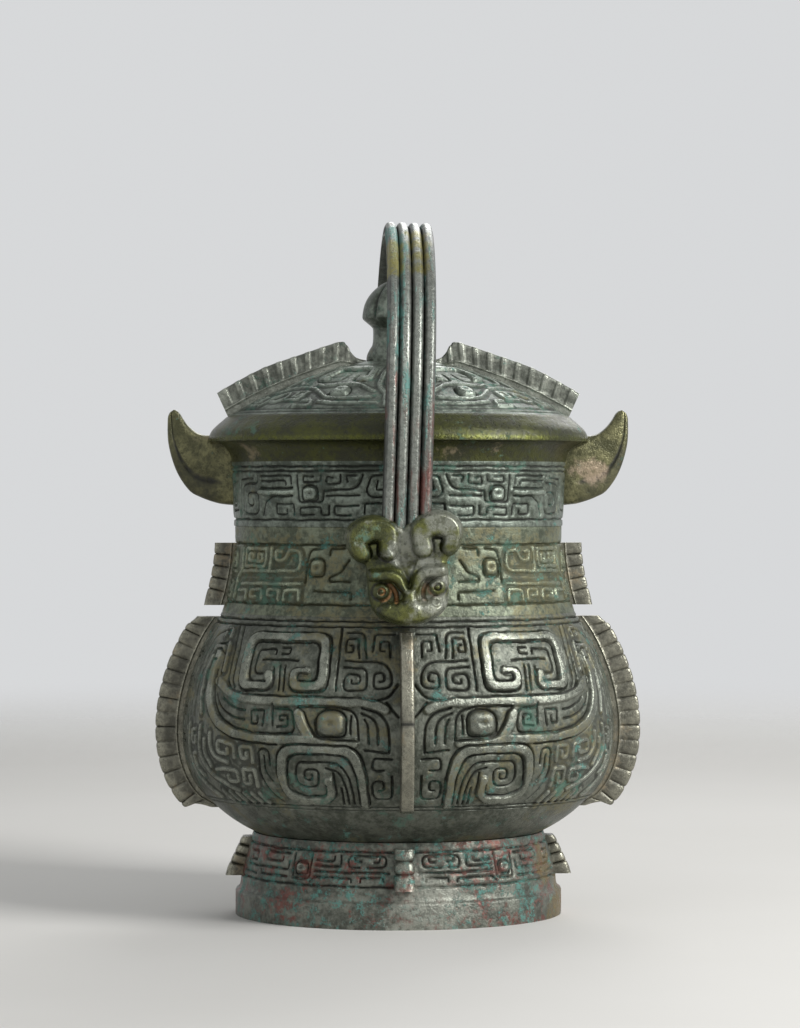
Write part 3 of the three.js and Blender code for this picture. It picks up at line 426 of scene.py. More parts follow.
class Finish:
    """A material or a world whose nodes are added one at a time."""

    def __init__(self, owner, shader="Principled BSDF"):
        owner.use_nodes = True
        self.owner = owner
        self.tree = owner.node_tree
        self.shader = self.tree.nodes[shader]
        self.place = self.node("ShaderNodeTexCoord", output="Object")

    def node(self, kind, settings=None, sockets=None, output=0):
        """A node of a kind, with its settings first and then its sockets' values or links."""
        node = self.tree.nodes.new(kind)
        for key, value in (settings or {}).items():
            setattr(node, key, value)
        for key, value in (sockets or {}).items():
            self.connect(node.inputs[key], value)
        return Value(self, node.outputs[output])

    def connect(self, socket, value):
        """Links a socket to a value, or sets it to a plain number or colour."""
        if isinstance(value, Value):
            self.tree.links.new(value.output, socket)
        else:
            socket.default_value = value

    def surface(self, name, value):
        """Sets one of the surface's own sockets."""
        self.connect(self.shader.inputs[name], value)

    def attribute(self, name):
        """A number stored with the mesh."""
        return self.node("ShaderNodeAttribute", {"attribute_name": name}, output="Fac")

    def vector(self, operation, vector, amount, output=0):
        """Vector Math on a place and a fixed vector."""
        return self.node("ShaderNodeVectorMath", {"operation": operation}, {0: vector, 1: amount}, output)

    def noise(self, size, detail=4.0, roughness=0.55, shift=0.0, stretch=(1, 1, 1)):
        """Cloudy noise with blobs of about a size in millimetres, moved aside so that it differs."""
        vector = self.vector("ADD", self.place, (shift, shift, shift))
        vector = self.vector("MULTIPLY", vector, stretch)
        sockets = {"Vector": vector, "Scale": 1 / (size * MM), "Detail": detail, "Roughness": roughness}
        return self.node("ShaderNodeTexNoise", None, sockets, output="Fac")

    def patch(self, field, share):
        """Patches where a noise field is high: none for a share of 0, most of the surface for 1."""
        return self.step(field, 0.72 - 0.27 * share, 0.79 - 0.27 * share)

    def near(self, point, radius, ragged):
        """1 within a radius in millimetres of a point and 0 beyond it, with a ragged edge from a noise."""
        away = self.vector("DISTANCE", self.place, tuple(MM * v for v in point), "Value")
        return 1 - self.step(away * (1 / (radius * MM)) + (ragged - 0.5) * 2.6, 0.6, 1.1)

    def step(self, value, low, high):
        """0 where a value is below low and 1 above high, smooth between them."""
        sockets = {"Value": value, "From Min": low, "From Max": high}
        return self.node("ShaderNodeMapRange", {"interpolation_type": "SMOOTHSTEP"}, sockets)

    def blend(self, share, first, second):
        """First colour where share is 0, second where it is 1."""
        settings = {"data_type": "RGBA", "clamp_factor": True}
        return self.node("ShaderNodeMix", settings, {0: share, 6: first, 7: second}, output=2)

    def bump(self, height, strength, distance):
        """Normals tilted by a height's slope, with a strength and a depth in millimetres."""
        sockets = {"Height": height, "Strength": strength, "Distance": distance * MM}
        return self.node("ShaderNodeBump", None, sockets)


def tint(code):
    """A written colour, such as "5a5644", as linear light."""
    levels = [int(code[k : k + 2], 16) / 255 for k in (0, 2, 4)]
    linear = [v / 12.92 if v <= 0.04045 else ((v + 0.055) / 1.055) ** 2.4 for v in levels]
    return (*linear, 1.0)


BLACK_GREEN = tint("191a14")
DARK_OLIVE = tint("2e2f17")
MALACHITE = tint("4d7060")
TURQUOISE = tint("4f857c")
CUPRITE = tint("6e3a33")
OCHRE = tint("837d42")
EARTH = tint("877a62")
OLIVE = tint("6a6444")
TAN = tint("a89680")
RUSTY_OLIVE = tint("6b5c3a")
ORANGE = tint("a67c50")
SILVER = tint("929489")
PAPER = tint("cac8c3")
PALE_PAPER = tint("d0ceca")

# How much each layer hides of what lies under it
COVER = {"soil": 0.7, "crevice": 0.95, "crust": 0.72, "bloom": 0.8, "rust": 0.75}


def aged_bronze(name, metal, worn, soil=EARTH, green=0.6, blue=0.5, red=0.0, earth=0.4, gloss=0.4, blot=7,
                streaks=(1, 1, 1), crevice=BLACK_GREEN, stains_and_highlights=(), rusty=()):
    """Old bronze: worn bright where it stands proud and where a highlight is painted, dark in its hollows
    and where shade is painted, crusted with green and blue.

    The shares of green, blue, red and earth say how much of the surface each crust covers, in blots
    of a size. Streaks stretch the tone along a piece. Stains and highlights are colours round a point,
    within a radius: real stained spots, and painted highlights where silver stands in for light on a lit
    side.
    Rusty points colour only the hollows round them. Each layer is blended over those before it, and
    what is crusted is rougher and less metallic.
    """
    finish = Finish(bpy.data.materials.new(name))
    hollow_and_shade = finish.attribute("hollow_and_shade")
    # The hollowness also carries painted shade above zero, which darkens like a hollow, and painted
    # highlights below zero, which brighten like worn tops.
    pit_and_shade = finish.step(hollow_and_shade, 0.2, 0.95)
    proud = finish.step(hollow_and_shade * -1, 0.05, 0.55)
    broad = finish.noise(size=34, detail=5.0, roughness=0.6)
    cloud = finish.noise(size=9, detail=6.0, roughness=0.64, shift=0.37, stretch=streaks)
    speckle = finish.noise(size=blot, detail=9.0, roughness=0.74, shift=0.81, stretch=streaks)
    spots = finish.noise(size=blot * 1.5, detail=9.0, roughness=0.72, shift=1.17, stretch=streaks)
    warm = finish.noise(size=20, detail=8.0, roughness=0.68, shift=1.43, stretch=streaks)
    fine = finish.noise(size=1.9, detail=4.0, roughness=0.66, shift=0.59)
    grain = finish.noise(size=0.7, detail=3.0, roughness=0.62)
    shine = finish.step(cloud * 0.55 + fine * 0.45, 0.41, 0.61) * 0.6 + proud * 0.4
    colour = finish.blend(shine, metal, worn)
    for point, radius, spot_colour in rusty:
        share = finish.near(point, radius, cloud) * (0.5 + finish.step(fine, 0.38, 0.56) * 0.5)
        crevice = finish.blend(share, crevice, spot_colour)
    dirt = finish.patch(warm + pit_and_shade * 0.04, earth)
    colour = finish.blend(dirt * finish.step(fine, 0.34, 0.6) * COVER["soil"], colour, soil)
    colour = finish.blend(pit_and_shade * (COVER["crevice"] - finish.step(spots, 0.44, 0.62) * 0.4), colour, crevice)
    crust = finish.patch(broad * 0.4 + speckle * 0.6 + pit_and_shade * 0.035, green)
    colour = finish.blend(crust * COVER["crust"], colour, MALACHITE)
    bloom = finish.patch(spots + pit_and_shade * 0.03, blue) * finish.step(grain * 0.5 + fine * 0.5, 0.4, 0.54)
    colour = finish.blend(bloom * COVER["bloom"], colour, TURQUOISE)
    rust = finish.patch(warm * 0.45 + speckle * 0.55, red)
    colour = finish.blend(rust * COVER["rust"], colour, CUPRITE)
    # Real stains, and painted highlights such as silver patches on lit sides, are blended last.
    for point, radius, spot_colour in stains_and_highlights:
        share = finish.near(point, radius, cloud) * (0.35 + finish.step(fine, 0.36, 0.56) * 0.5)
        colour = finish.blend(share, colour, spot_colour)
    crusted = crust.math("MAXIMUM", crust, bloom)
    dull = crusted.math("MAXIMUM", crusted, dirt * 0.35)
    rough = gloss + pit_and_shade * 0.3 + dull * 0.25 - proud * 0.1 + (fine - 0.5) * 0.4 + (grain - 0.5) * 0.35
    metallic = 0.42 + shine * 0.46 - pit_and_shade * 0.3 - dull * 0.4
    height = fine * 0.55 + grain * 0.45 + crusted * 0.3 + cloud * 0.5
    finish.surface("Base Color", colour)
    finish.surface("Roughness", rough)
    finish.surface("Metallic", metallic)
    finish.surface("Normal", finish.bump(height, strength=0.8, distance=0.5))
    return finish.owner


# Stretch of the strap's tones, places in millimetres that are stained, and places with a painted highlight
ALONG_STRAP = (1, 0.12, 0.12)
STRAP_CROWN = [(-4, -49, 247), (-4, -44, 252), (-4, -38, 256), (5, -49, 247), (5, -44, 252), (5, -37, 257),
               (5, -29, 261)]
HORN_PATCH = (75, -4, 172)
# Painted highlights: silver patches on the right, lit half of the front mask.
MASK_HIGHLIGHTS = [(14, -77, 154), (2, -74, 144), (10, -76, 135), (9, -75, 122)]
MASK_CRESCENTS = [(6.5, -75, 126), (-4.2, -75, 125)]
# Painted highlight: a silver patch on the front of the foot's base.
FOOT_HIGHLIGHT = (10, -54, 5)
FOOT_RUST = [(63, -11, 8), (61, -19, 3), (58, -20, 22)]

BODY = aged_bronze("body_patina", tint("3c4036"), tint("82857a"), soil=OLIVE, earth=0.75)
NECK_BRONZE = aged_bronze("neck_patina", tint("3d4333"), tint("878e79"), soil=OLIVE, green=0.65, earth=0.9,
                          crevice=DARK_OLIVE)
LID = aged_bronze("lid_patina", tint("40473d"), tint("929b8f"), soil=OLIVE, green=0.65, blue=0.45,
                  earth=0.5)
CREST = aged_bronze("crest_patina", tint("585b52"), tint("a2a599"), green=0.6, blue=0.45, earth=0.35)
LID_EDGE = aged_bronze("lid_edge_patina", tint("292b15"), tint("4e5126"), green=0.5, blue=0.35, gloss=0.34)
HORN = aged_bronze("horn_patina", tint("46462c"), tint("8a8763"), green=0.5, blue=0.25, gloss=0.3,
                   stains_and_highlights=[(HORN_PATCH, 7, TAN)])
# On the foot the silver patch at the front is a painted highlight; the rusty olive patches are real stains.
FOOT = aged_bronze("foot_patina", tint("40433b"), tint("85887d"), green=0.55, blue=0.75, red=0.75, blot=3.5,
                   stains_and_highlights=[*[(end, 9, RUSTY_OLIVE) for end in FOOT_RUST], (FOOT_HIGHLIGHT, 17, SILVER)])
FLANGE = aged_bronze("flange_patina", tint("504f45"), tint("918f80"), green=0.35, blue=0.25, earth=0.55)
STRAP = aged_bronze("strap_patina", tint("4c4f4a"), tint("8e9189"), green=0.4, blue=0.66, red=0.68,
                    earth=0.4, blot=3.2, streaks=ALONG_STRAP,
                    stains_and_highlights=[(spot, 4.5, OCHRE) for spot in STRAP_CROWN])
# The mask's silver patches are painted highlights on its lit right half; the orange in the eye crescents is
# a real deposit.
MASK = aged_bronze("mask_patina", tint("2f341f"), tint("737641"), soil=SILVER, green=0.55, blue=0.15,
                   earth=0.6, gloss=0.33, stains_and_highlights=[(patch, 9.5, SILVER) for patch in MASK_HIGHLIGHTS],
                   rusty=[(eye, 7, ORANGE) for eye in MASK_CRESCENTS])


# Ornament: grooves, raised bands and fine ridges are lines of a bend radius and points, which are in
# millimetres from the front centre (a) and up the wall (s)


def rounded(points, bend):
    """A polyline with round corners: each is cut back along both sides and bridged by a parabola."""
    points = np.asarray(points, float)
    line = [points[:1]]
    for before, corner, after in zip(points, points[1:], points[2:]):
        back = before - corner
        ahead = after - corner
        back_length = np.linalg.norm(back)
        ahead_length = np.linalg.norm(ahead)
        cut = min(bend, back_length / 2, ahead_length / 2)
        controls = [corner + back * (cut / back_length), corner, corner + ahead * (cut / ahead_length)]
        line.append(bezier(controls, CORNER_STEPS))
    return np.vstack([*line, points[-1:]])


def coil(a, s, half_a, half_s, flip_a=1, flip_s=1, pitch=COIL_PITCH):
    """Corners of a square spiral: each side stops half a pitch nearer the middle than the one before."""
    corner = np.arange(2 * int(2 * min(half_a, half_s) / pitch) + 1)
    right = np.where(np.isin(corner % 4, (1, 2)), 1, -1)
    upper = np.where(np.isin(corner % 4, (2, 3)), 1, -1)
    across = flip_a * right * (half_a - pitch / 2 * ((corner + 1) // 2))
    upward = flip_s * upper * (half_s - pitch / 2 * (corner // 2))
    return np.stack([a + across, s + upward], axis=1)


def ring_groove(a, s, half_a, half_s):
    """A closed groove round an eye: a rectangle that starts in the middle of its lower side."""
    corners = ((0, -1), (1, -1), (1, 1), (-1, 1), (-1, -1), (0, -1))
    return [(a + p * half_a, s + q * half_s) for p, q in corners]


def wobble(line):
    """A line with the unevenness of a hand-cut mould: each axis shifted by slow waves of both places."""
    a, s = np.asarray(line, float).T
    shift_a = np.sin(0.37 * a + 0.21 * s) + np.sin(0.83 * s - 0.13 * a)
    shift_s = np.sin(0.29 * a - 0.33 * s) + np.sin(0.71 * a + 0.17 * s)
    return np.stack([a + WOBBLE * shift_a, s + WOBBLE * shift_s], axis=1)


def stroke_distance(strokes, width, lengths, squeeze, columns):
    """Distance from each point of a panel to the nearest stroke, no more than the reach.

    Dots along the strokes each lower the distances in a small window round them. Squeeze is each
    row's real width over the panel's.
    """
    rows = len(lengths)
    step_a = width / (columns - 1)
    step_s = lengths[-1] / (rows - 1)
    dots = np.vstack([wobble(spaced(stroke, DOT_STEP)) for stroke in strokes])
    window_a = int(STROKE_REACH / step_a / squeeze.min()) + 1
    window_s = int(STROKE_REACH / step_s) + 1
    near_a, near_s = np.mgrid[-window_a : window_a + 1, -window_s : window_s + 1]
    column = np.rint(dots[:, :1] / step_a).astype(int) + near_a.ravel()
    row = np.rint(dots[:, 1:] / step_s).astype(int) + near_s.ravel()
    inside = (column >= 0) & (column < columns) & (row >= 0) & (row < rows)
    narrow = squeeze[np.clip(row, 0, rows - 1)]
    distance = np.hypot((column * step_a - dots[:, :1]) * narrow, row * step_s - dots[:, 1:])
    field = np.full((columns, rows), STROKE_REACH)
    np.minimum.at(field, (column[inside], row[inside]), distance[inside])
    return field


class Panel:
    """A quarter of an ornament band: its width at the widest row, grooves, raised bands, ridges and eyes.

    A pupil is the width and depth of the dimple in an eye, as shares of the eye's own.
    """

    def __init__(self, width, depth, strokes, coils=(), borders=(), bands=(), band_width=3.0, ridges=(),
                 eyes=(), pupil=(0.45, 0.9)):
        self.width = width
        self.depth = depth
        self.strokes = [rounded(points, bend) for bend, points in strokes]
        self.strokes += [rounded(coil(*sizes), COIL_BEND) for sizes in coils]
        self.strokes += [np.array([(0, height), (width, height)], float) for height in borders]
        for a, s, half_a, half_s, _ in eyes:
            groove = ring_groove(a, s, half_a + EYE_MARGIN, half_s + EYE_MARGIN)
            self.strokes.append(rounded(groove, half_a))
        self.bands = [rounded(points, bend) for bend, points in bands]
        self.band_half = band_width / 2
        self.ridges = [rounded(points, bend) for bend, points in ridges]
        self.eyes = eyes
        self.pupil = pupil

    def relief(self, profile, columns):
        """Lift along the normal, and hollowness, over a wall profile.

        Grooves sink, bands and fine ridges stand proud, and the ground between ridges is hollow.
        An eye is a dome over a rounded rectangle, with a dimple.
        """
        lengths = arc_lengths(profile)
        squeeze = profile[:, 0] / profile[:, 0].max()
        from_groove = stroke_distance(self.strokes, self.width, lengths, squeeze, columns)
        sunk = 1 - ease(GROOVE_FLOOR, GROOVE_SHOULDER, from_groove)
        raised = np.zeros_like(sunk)
        if self.bands:
            from_band = stroke_distance(self.bands, self.width, lengths, squeeze, columns)
            raised = 1 - ease(self.band_half - BAND_EDGE, self.band_half + BAND_EDGE, from_band)
        crown = CROWN * ease(GROOVE_SHOULDER, STROKE_REACH, from_groove)
        lift = RELIEF_HEIGHT * raised + crown - self.depth * sunk
        ground = np.zeros_like(sunk)
        if self.ridges:
            from_ridge = stroke_distance(self.ridges, self.width, lengths, squeeze, columns)
            ridge = 1 - ease(RIDGE_TOP, RIDGE_FOOT, from_ridge)
            beside = 1 - ease(GROUND_REACH, STROKE_REACH, from_ridge)
            ground = GROUND_SHADE * (1 - ridge) * beside
            lift += RIDGE_HEIGHT * ridge
            raised = np.maximum(raised, ridge)
        a = np.linspace(0, self.width, columns)[:, None]
        pupil_width, pupil_depth = self.pupil
        for middle_a, middle_s, half_a, half_s, height in self.eyes:
            across = (a - middle_a) / half_a
            upward = (lengths - middle_s) / half_s
            dome = pillow(across, upward)
            dimple = bell(np.hypot(across, upward * PUPIL_STRETCH), pupil_width)
            lift += height * (dome - pupil_depth * dimple)
            raised = np.maximum(raised, dome - dimple)
            ground = np.where(dome > 0, pupil_depth**2 * dimple, ground)
        return lift, np.maximum(sunk, ground) - WORN * raised * (1 - sunk)


BELLY_PANEL = Panel(
    width=120,
    depth=0.95,
    borders=(1.1, 3.1, 74.4, 76.8),
    band_width=3.6,
    eyes=[(28.4, 36.6, 5.3, 4.5, 2.2)],
    pupil=(0.3, 0.3),
    bands=[
        # horn, jaw, the body from under the eye to the tail, the brow, the eye's corner and the tail's knob
        (4, [(40.4, 56.2), (45, 56), (45, 50.2), (32.8, 50.2), (33.3, 69.6), (70.1, 69.4),
             (68.6, 49.8), (55.3, 50), (56.2, 54.6)]),
        (5, [(16.4, 4.8), (16.6, 17), (20.4, 27), (47.4, 27), (49, 13.6), (44.4, 6.5), (32, 6.4),
             (29, 9.4), (29.5, 15)]),
        (9, [(19.5, 29.5), (33, 29.8), (43, 30.3), (62, 30.5), (72, 32.2), (80.6, 36.4), (86.2, 43.6),
             (88.4, 54), (87.4, 62)]),
        (6, [(8, 41.8), (14, 44.6), (24, 44.6), (60, 44.5), (74, 46.6), (82, 51)]),
        (3, [(36.4, 31.6), (39.8, 35.6), (41.4, 40.4)]),
        (1, [(85.4, 63.4), (91.4, 63.6)]),
    ],
    strokes=[
        # frame under and beside the horn
        (6, [(82.5, 74), (78.2, 62), (77, 49), (66, 46.4), (19, 46.3)]),
        (6, [(79, 74), (75.4, 62), (74.4, 51.5), (72.5, 48.9)]),
        (1, [(27.7, 74), (27.4, 62), (27.3, 49)]),
        # horn: outer, inner and innermost grooves of a bracket with curled feet
        (5, [(54.8, 57.4), (53.4, 48.3), (70.8, 48.1), (72.6, 71.4), (31.2, 71.6), (30.6, 48.2),
             (46.7, 48.1), (46.9, 57.4), (40.8, 57.6)]),
        (3.4, [(57.2, 51.8), (66.2, 51.6), (67.8, 67.4), (35.8, 67.6), (35.2, 52.2), (43.4, 52.1),
               (43.4, 55), (39.4, 55)]),
        (2.2, [(59.6, 54.8), (64, 54.8), (64.6, 64.3), (55.6, 64.6), (55.4, 62.6)]),
        (1, [(53, 65.4), (49, 65.4), (49, 62.8), (52.6, 62.8)]),
        (1, [(44.6, 60.4), (61.6, 60.4)]),
        (1, [(49.9, 58), (48.9, 48.6)]),
        (1, [(52.1, 58), (51.1, 48.6)]),
        # forehead: hooks and curls between the nose flange and the horn
        (2, [(16, 61.6), (17.4, 71.8), (25, 72)]),
        (0.9, [(19, 61.8), (19.8, 69.4), (25, 69.5), (24.8, 64), (21.7, 64), (21.8, 66.8), (23.2, 66.8)]),
        (1.5, [(4.4, 71.4), (13, 71.4), (13.6, 64.2)]),
        (0.9, [(6.2, 62), (6.8, 68.6), (10.6, 68.6), (10.6, 64.6), (8.7, 64.6)]),
        (2.6, [(24.6, 60.6), (9, 60), (5.4, 56), (5.8, 50.2), (12.7, 49.7), (12.8, 56), (8.4, 56),
               (8.4, 52.7), (10.4, 52.7)]),
        (2.4, [(25, 57.8), (15.8, 57.9), (15.3, 49), (24.4, 49), (24.2, 55.3), (18.2, 55.3),
               (18.2, 51.7), (21.4, 51.7), (21.4, 53)]),
        (2, [(3.2, 51.4), (6.4, 46.8), (11.4, 44.9), (19, 46.3)]),
        (1, [(7.6, 44.4), (5, 41.4), (2.8, 39)]),
        # brow bands beside the nose
        (5, [(6.3, 25.8), (6.5, 35.5), (9.8, 40.6), (16.6, 42.6)]),
        (4, [(10.6, 29.2), (10.7, 35.6), (13, 39.2), (17, 40.6)]),
        (2, [(14.2, 29.2), (14.3, 36), (15.8, 38.4)]),
        (1, [(7.2, 26), (15.6, 26.7)]),
        # eye frame, lids and the bar behind the eye
        (3, [(17.9, 30.4), (18, 37), (20, 41.4), (25, 42.8), (41.4, 42.8)]),
        (1, [(20.9, 32.6), (20.9, 39.6)]),
        (4, [(18.3, 30.2), (33.2, 31), (36.8, 35.2), (39.2, 40.6), (41.6, 42.6)]),
        # ear and the body that rises behind it
        (3, [(51.6, 41.8), (43.6, 41.7), (42.8, 32.4), (60.8, 32.3)]),
        (0.9, [(50.2, 35), (45.8, 35), (45.7, 39.2), (49.2, 39.2), (49.1, 37.2), (47.6, 37.2)]),
        (1, [(52.4, 43.2), (51.9, 35.4)]),
        (0.9, [(56.4, 35), (56, 41), (62, 41), (61.8, 35.8), (58.9, 35.8), (59, 38.6)]),
        (9, [(60.8, 32.3), (70, 33.7), (79, 38), (83.8, 45), (85.8, 55)]),
        (9, [(50, 28.5), (62, 28.6), (73.6, 30.6), (82.8, 34.8), (88.8, 42.4), (91, 54), (90, 62.6)]),
        (6, [(65, 37), (73, 38), (79.4, 41.8), (82, 46)]),
        (5, [(65, 40.6), (72, 41.4), (77.4, 44.6)]),
        # jaw: nested bands that rise from below and coil inwards
        (6, [(14.6, 4.6), (14.8, 18), (18.6, 28.6), (49.4, 28.8), (51, 15), (46.6, 4.7), (32, 4.6),
             (27.2, 8.6), (27.8, 18)]),
        (5, [(18.2, 4.6), (18.4, 16), (22.2, 25.2), (45.6, 25.2), (46.9, 11), (41, 8.2), (31.2, 8.4),
             (30.8, 13.6)]),
        (3.4, [(20.6, 4.6), (21.2, 14.5), (25.2, 22), (42.4, 22.2), (42.8, 12.6), (33.9, 12.1),
               (33.4, 19.5), (39.4, 19.5), (39.2, 15.2), (36.2, 15.2), (36.3, 17.4)]),
        (3, [(22.9, 4.6), (23.4, 13.5), (26, 18.8), (30.6, 19.8)]),
        (2, [(25, 4.6), (25.2, 12)]),
        # nostril by the nose flange
        (2, [(5.4, 23.4), (12.6, 24), (12.8, 19.2), (8.4, 19.2)]),
        (2.6, [(5.5, 17), (5.5, 7.4), (13, 7.2), (13, 15.2), (8.6, 15.2), (8.6, 11.2), (10.6, 11.2)]),
        # hooks behind the jaw
        (2.6, [(53.6, 20.4), (53.4, 26.4), (58, 26.4), (58, 15), (54.4, 8), (51, 4.6)]),
        (1.5, [(55.7, 23.8), (55.7, 18), (53.4, 14)]),
        # curls over the tail, and the tail beside the flange
        (0.9, [(82, 49.6), (82.6, 55), (83.6, 61), (86.6, 63.6), (90.6, 63.4), (91, 59.4), (87.4, 59.2)]),
        (9, [(97.4, 37), (98.8, 52), (96.6, 65), (86, 66.4)]),
        (9, [(101.2, 37), (102.6, 54), (99.6, 70.4), (86.4, 71.6)]),
        (9, [(103, 6.2), (104.2, 30), (106, 56), (104.4, 73)]),
    ],
    ridges=[
        # over and beside the tail's knob
        (1.5, [(84.4, 68.4), (84.8, 72), (89.4, 72), (89, 69)]),
        (2, [(92.4, 60.4), (93.4, 54), (92.6, 44), (90.6, 38)]),
        (1, [(81, 55), (81.8, 61), (83, 66)]),
        # bands that sweep down from the body towards the jaw
        (6, [(90, 33.4), (91.4, 24), (88, 17.4), (79, 12.4), (71, 9.4)]),
        (6, [(99.4, 34), (100.8, 24), (98.4, 17), (93, 11), (85, 5.6)]),
        (3, [(83.4, 31), (83.6, 25.6), (80, 21.8), (73.6, 20.4)]),
        (2, [(87.2, 28.6), (87.4, 23.4), (84, 18.4)]),
        # curls between them
        (1.6, [(69.6, 22.6), (69.4, 27.4), (78.4, 28.6), (78.6, 24), (73, 23.6), (73.2, 25.6)]),
        (1.2, [(60.6, 21.4), (60.6, 27), (66.4, 27), (66.2, 22.6), (63.4, 22.6), (63.4, 24.8)]),
        (1.2, [(60.4, 11.6), (60.2, 18.4), (66, 18.6), (66.2, 12.6), (63, 12.6), (63, 15.8)]),
        (2, [(80.6, 17.6), (74.6, 18), (69.4, 17.4), (69, 13), (74.4, 13.4), (74.6, 15.4)]),
        (1.2, [(94, 32), (97, 31.8), (96.8, 26.6), (93.8, 26.4), (94, 29.2)]),
        (1.2, [(94.4, 22.8), (97, 22.4), (94.8, 17), (91, 14.4)]),
        *[(1, [(a, 4.6), (a + 3, 8.6)]) for a in range(58, 82, 4)],
    ],
    coils=[
        (111.4, 11, 4, 4.2, 1, 1),
        (111.8, 22, 4, 4.4, 1, -1),
        (112, 33, 4, 4.4, -1, 1),
        (112.4, 44, 3.8, 4.4, 1, 1),
        (112.8, 55, 3.6, 4.4, -1, -1),
        (112, 66.4, 4.2, 4.8, 1, 1),
    ],
)

NECK_PANEL = Panel(
    width=97,
    depth=0.8,
    borders=(4.6, 27.2),
    eyes=[(35.6, 18.8, 2.8, 2.9, 0.9)],
    strokes=[
        (1, [(20.6, 6.8), (20.8, 9.6), (36, 9.7)]),
        (1.2, [(22, 21.6), (25.4, 16.8), (30, 15.2), (29.6, 13.6), (21.4, 13.4)]),
        (1.6, [(24, 26), (30.4, 25.8), (30.2, 23.2)]),
        (1.6, [(33.6, 25.8), (38.6, 25.4), (40.2, 20), (40.2, 13)]),
    ],
    ridges=[
        (2.6, [(48.2, 25.2), (42.8, 25.2), (42.8, 17.4), (75, 16.8)]),
        (1.5, [(48.2, 25.2), (50.6, 21.2), (55, 21.2), (55.2, 25), (52.4, 24.6)]),
        (1, [(57.6, 25.8), (57.8, 17.4)]),
        (1.2, [(60.4, 25.6), (60.4, 18.9), (74, 18.7), (74, 25.6), (60.4, 25.6)]),
        (0.9, [(66.6, 20.8), (62.8, 20.8), (62.8, 23.6), (65.6, 23.6), (65.4, 22.2)]),
        (0.9, [(67.8, 20.8), (71.6, 20.8), (71.6, 23.6), (68.8, 23.6), (69, 22.2)]),
        (1, [(42, 12.4), (75, 12)]),
        (2, [(76.6, 25.4), (76.6, 17), (79.6, 14.6), (79.8, 6.4)]),
        (0.9, [(42, 6.2), (42.2, 10), (48.6, 10), (48.8, 6.2)]),
        (0.9, [(51.4, 6.2), (51.6, 10), (57.4, 10), (57.2, 7.5), (54.2, 7.5)]),
        (0.9, [(60.2, 6.2), (60.8, 9.8), (67.2, 9.8), (67, 7.1), (63.6, 7.1)]),
        (0.9, [(70, 6.2), (70.4, 9.6), (76.4, 9.4)]),
        *[(COIL_BEND, coil(*sizes)) for sizes in ((86.8, 20.6, 4.6, 4, 1, 1), (87, 10.4, 4.4, 3.4, -1, 1))],
    ],
    coils=[(9, 11, 5.4, 3.6, 1, 1), (9, 20.8, 5.4, 4.4, -1, 1)],
)

LID_PANEL = Panel(
    width=93,
    depth=0.75,
    borders=(2.5, 20.9, 22.7),
    bands=[(1, [(44.6, 13), (53, 13), (61, 13)])],
    band_width=2,
    eyes=[(37, 12.5, 2.9, 2.5, 0.9)],
    strokes=[
        (1, [(2, 4.4), (2, 19.4)]),
        (1, [(4.6, 4.4), (4.6, 19.4)]),
        (1.6, [(8, 19.2), (12.4, 19.2), (14.6, 13.4), (12.6, 11), (7.6, 11)]),
        (0.9, [(10, 17.2), (11, 13.8), (7.6, 13.8)]),
        (1.6, [(15.6, 19.4), (17.8, 14.8), (21, 13.9), (31, 13.6)]),
        (0.9, [(18.4, 19.3), (22.4, 19.2), (21.8, 16.8)]),
        (1, [(17, 11.6), (30.2, 11.7)]),
        (1, [(7.4, 8.6), (15.2, 8.6), (15.2, 4.8)]),
        (0.9, [(24.4, 19.4), (24.6, 16), (30, 16), (30, 19), (27.4, 18.3)]),
        (1.4, [(31, 13.6), (31.8, 9.2), (42, 9.2), (42.4, 19.3)]),
        (0.9, [(32.4, 19.3), (32.6, 16.9), (40, 16.8), (39.8, 19.3), (35.6, 18.9)]),
        (0.9, [(45, 15.9), (45.2, 19.2), (60.8, 19.1)]),
        (0.9, [(47.6, 15.9), (47.8, 17.3), (60.6, 17.2)]),
        (1, [(44.6, 14.5), (61, 14.4)]),
        (1, [(44.8, 11.6), (54.4, 11.6), (58.6, 9), (60, 4.4)]),
        (2.4, [(62.8, 19.2), (62.9, 16.4), (73.6, 15.9), (73.6, 4.8), (62.8, 4.7), (62.4, 12.8),
               (70.2, 12.8), (70.2, 8), (66, 8), (66, 10.2)]),
        (1, [(65.6, 19.2), (65.8, 18.1), (75.6, 17.9), (76.2, 4.6)]),
        (0.8, [(17.4, 7.8), (27, 7.8), (27, 4.3), (20.4, 4.3)]),
        (0.8, [(29.2, 8), (29.2, 4.3), (32.4, 4.3), (32.4, 7.2), (41.6, 7.2), (41.6, 4.4), (35.4, 4.4)]),
        (0.8, [(44.2, 4.4), (44.4, 8.6), (52.6, 8.6), (52.6, 4.6), (47.4, 4.6), (47.4, 6.6)]),
    ],
    coils=[(83.4, 12, 4.2, 6, 1, 1)],
)

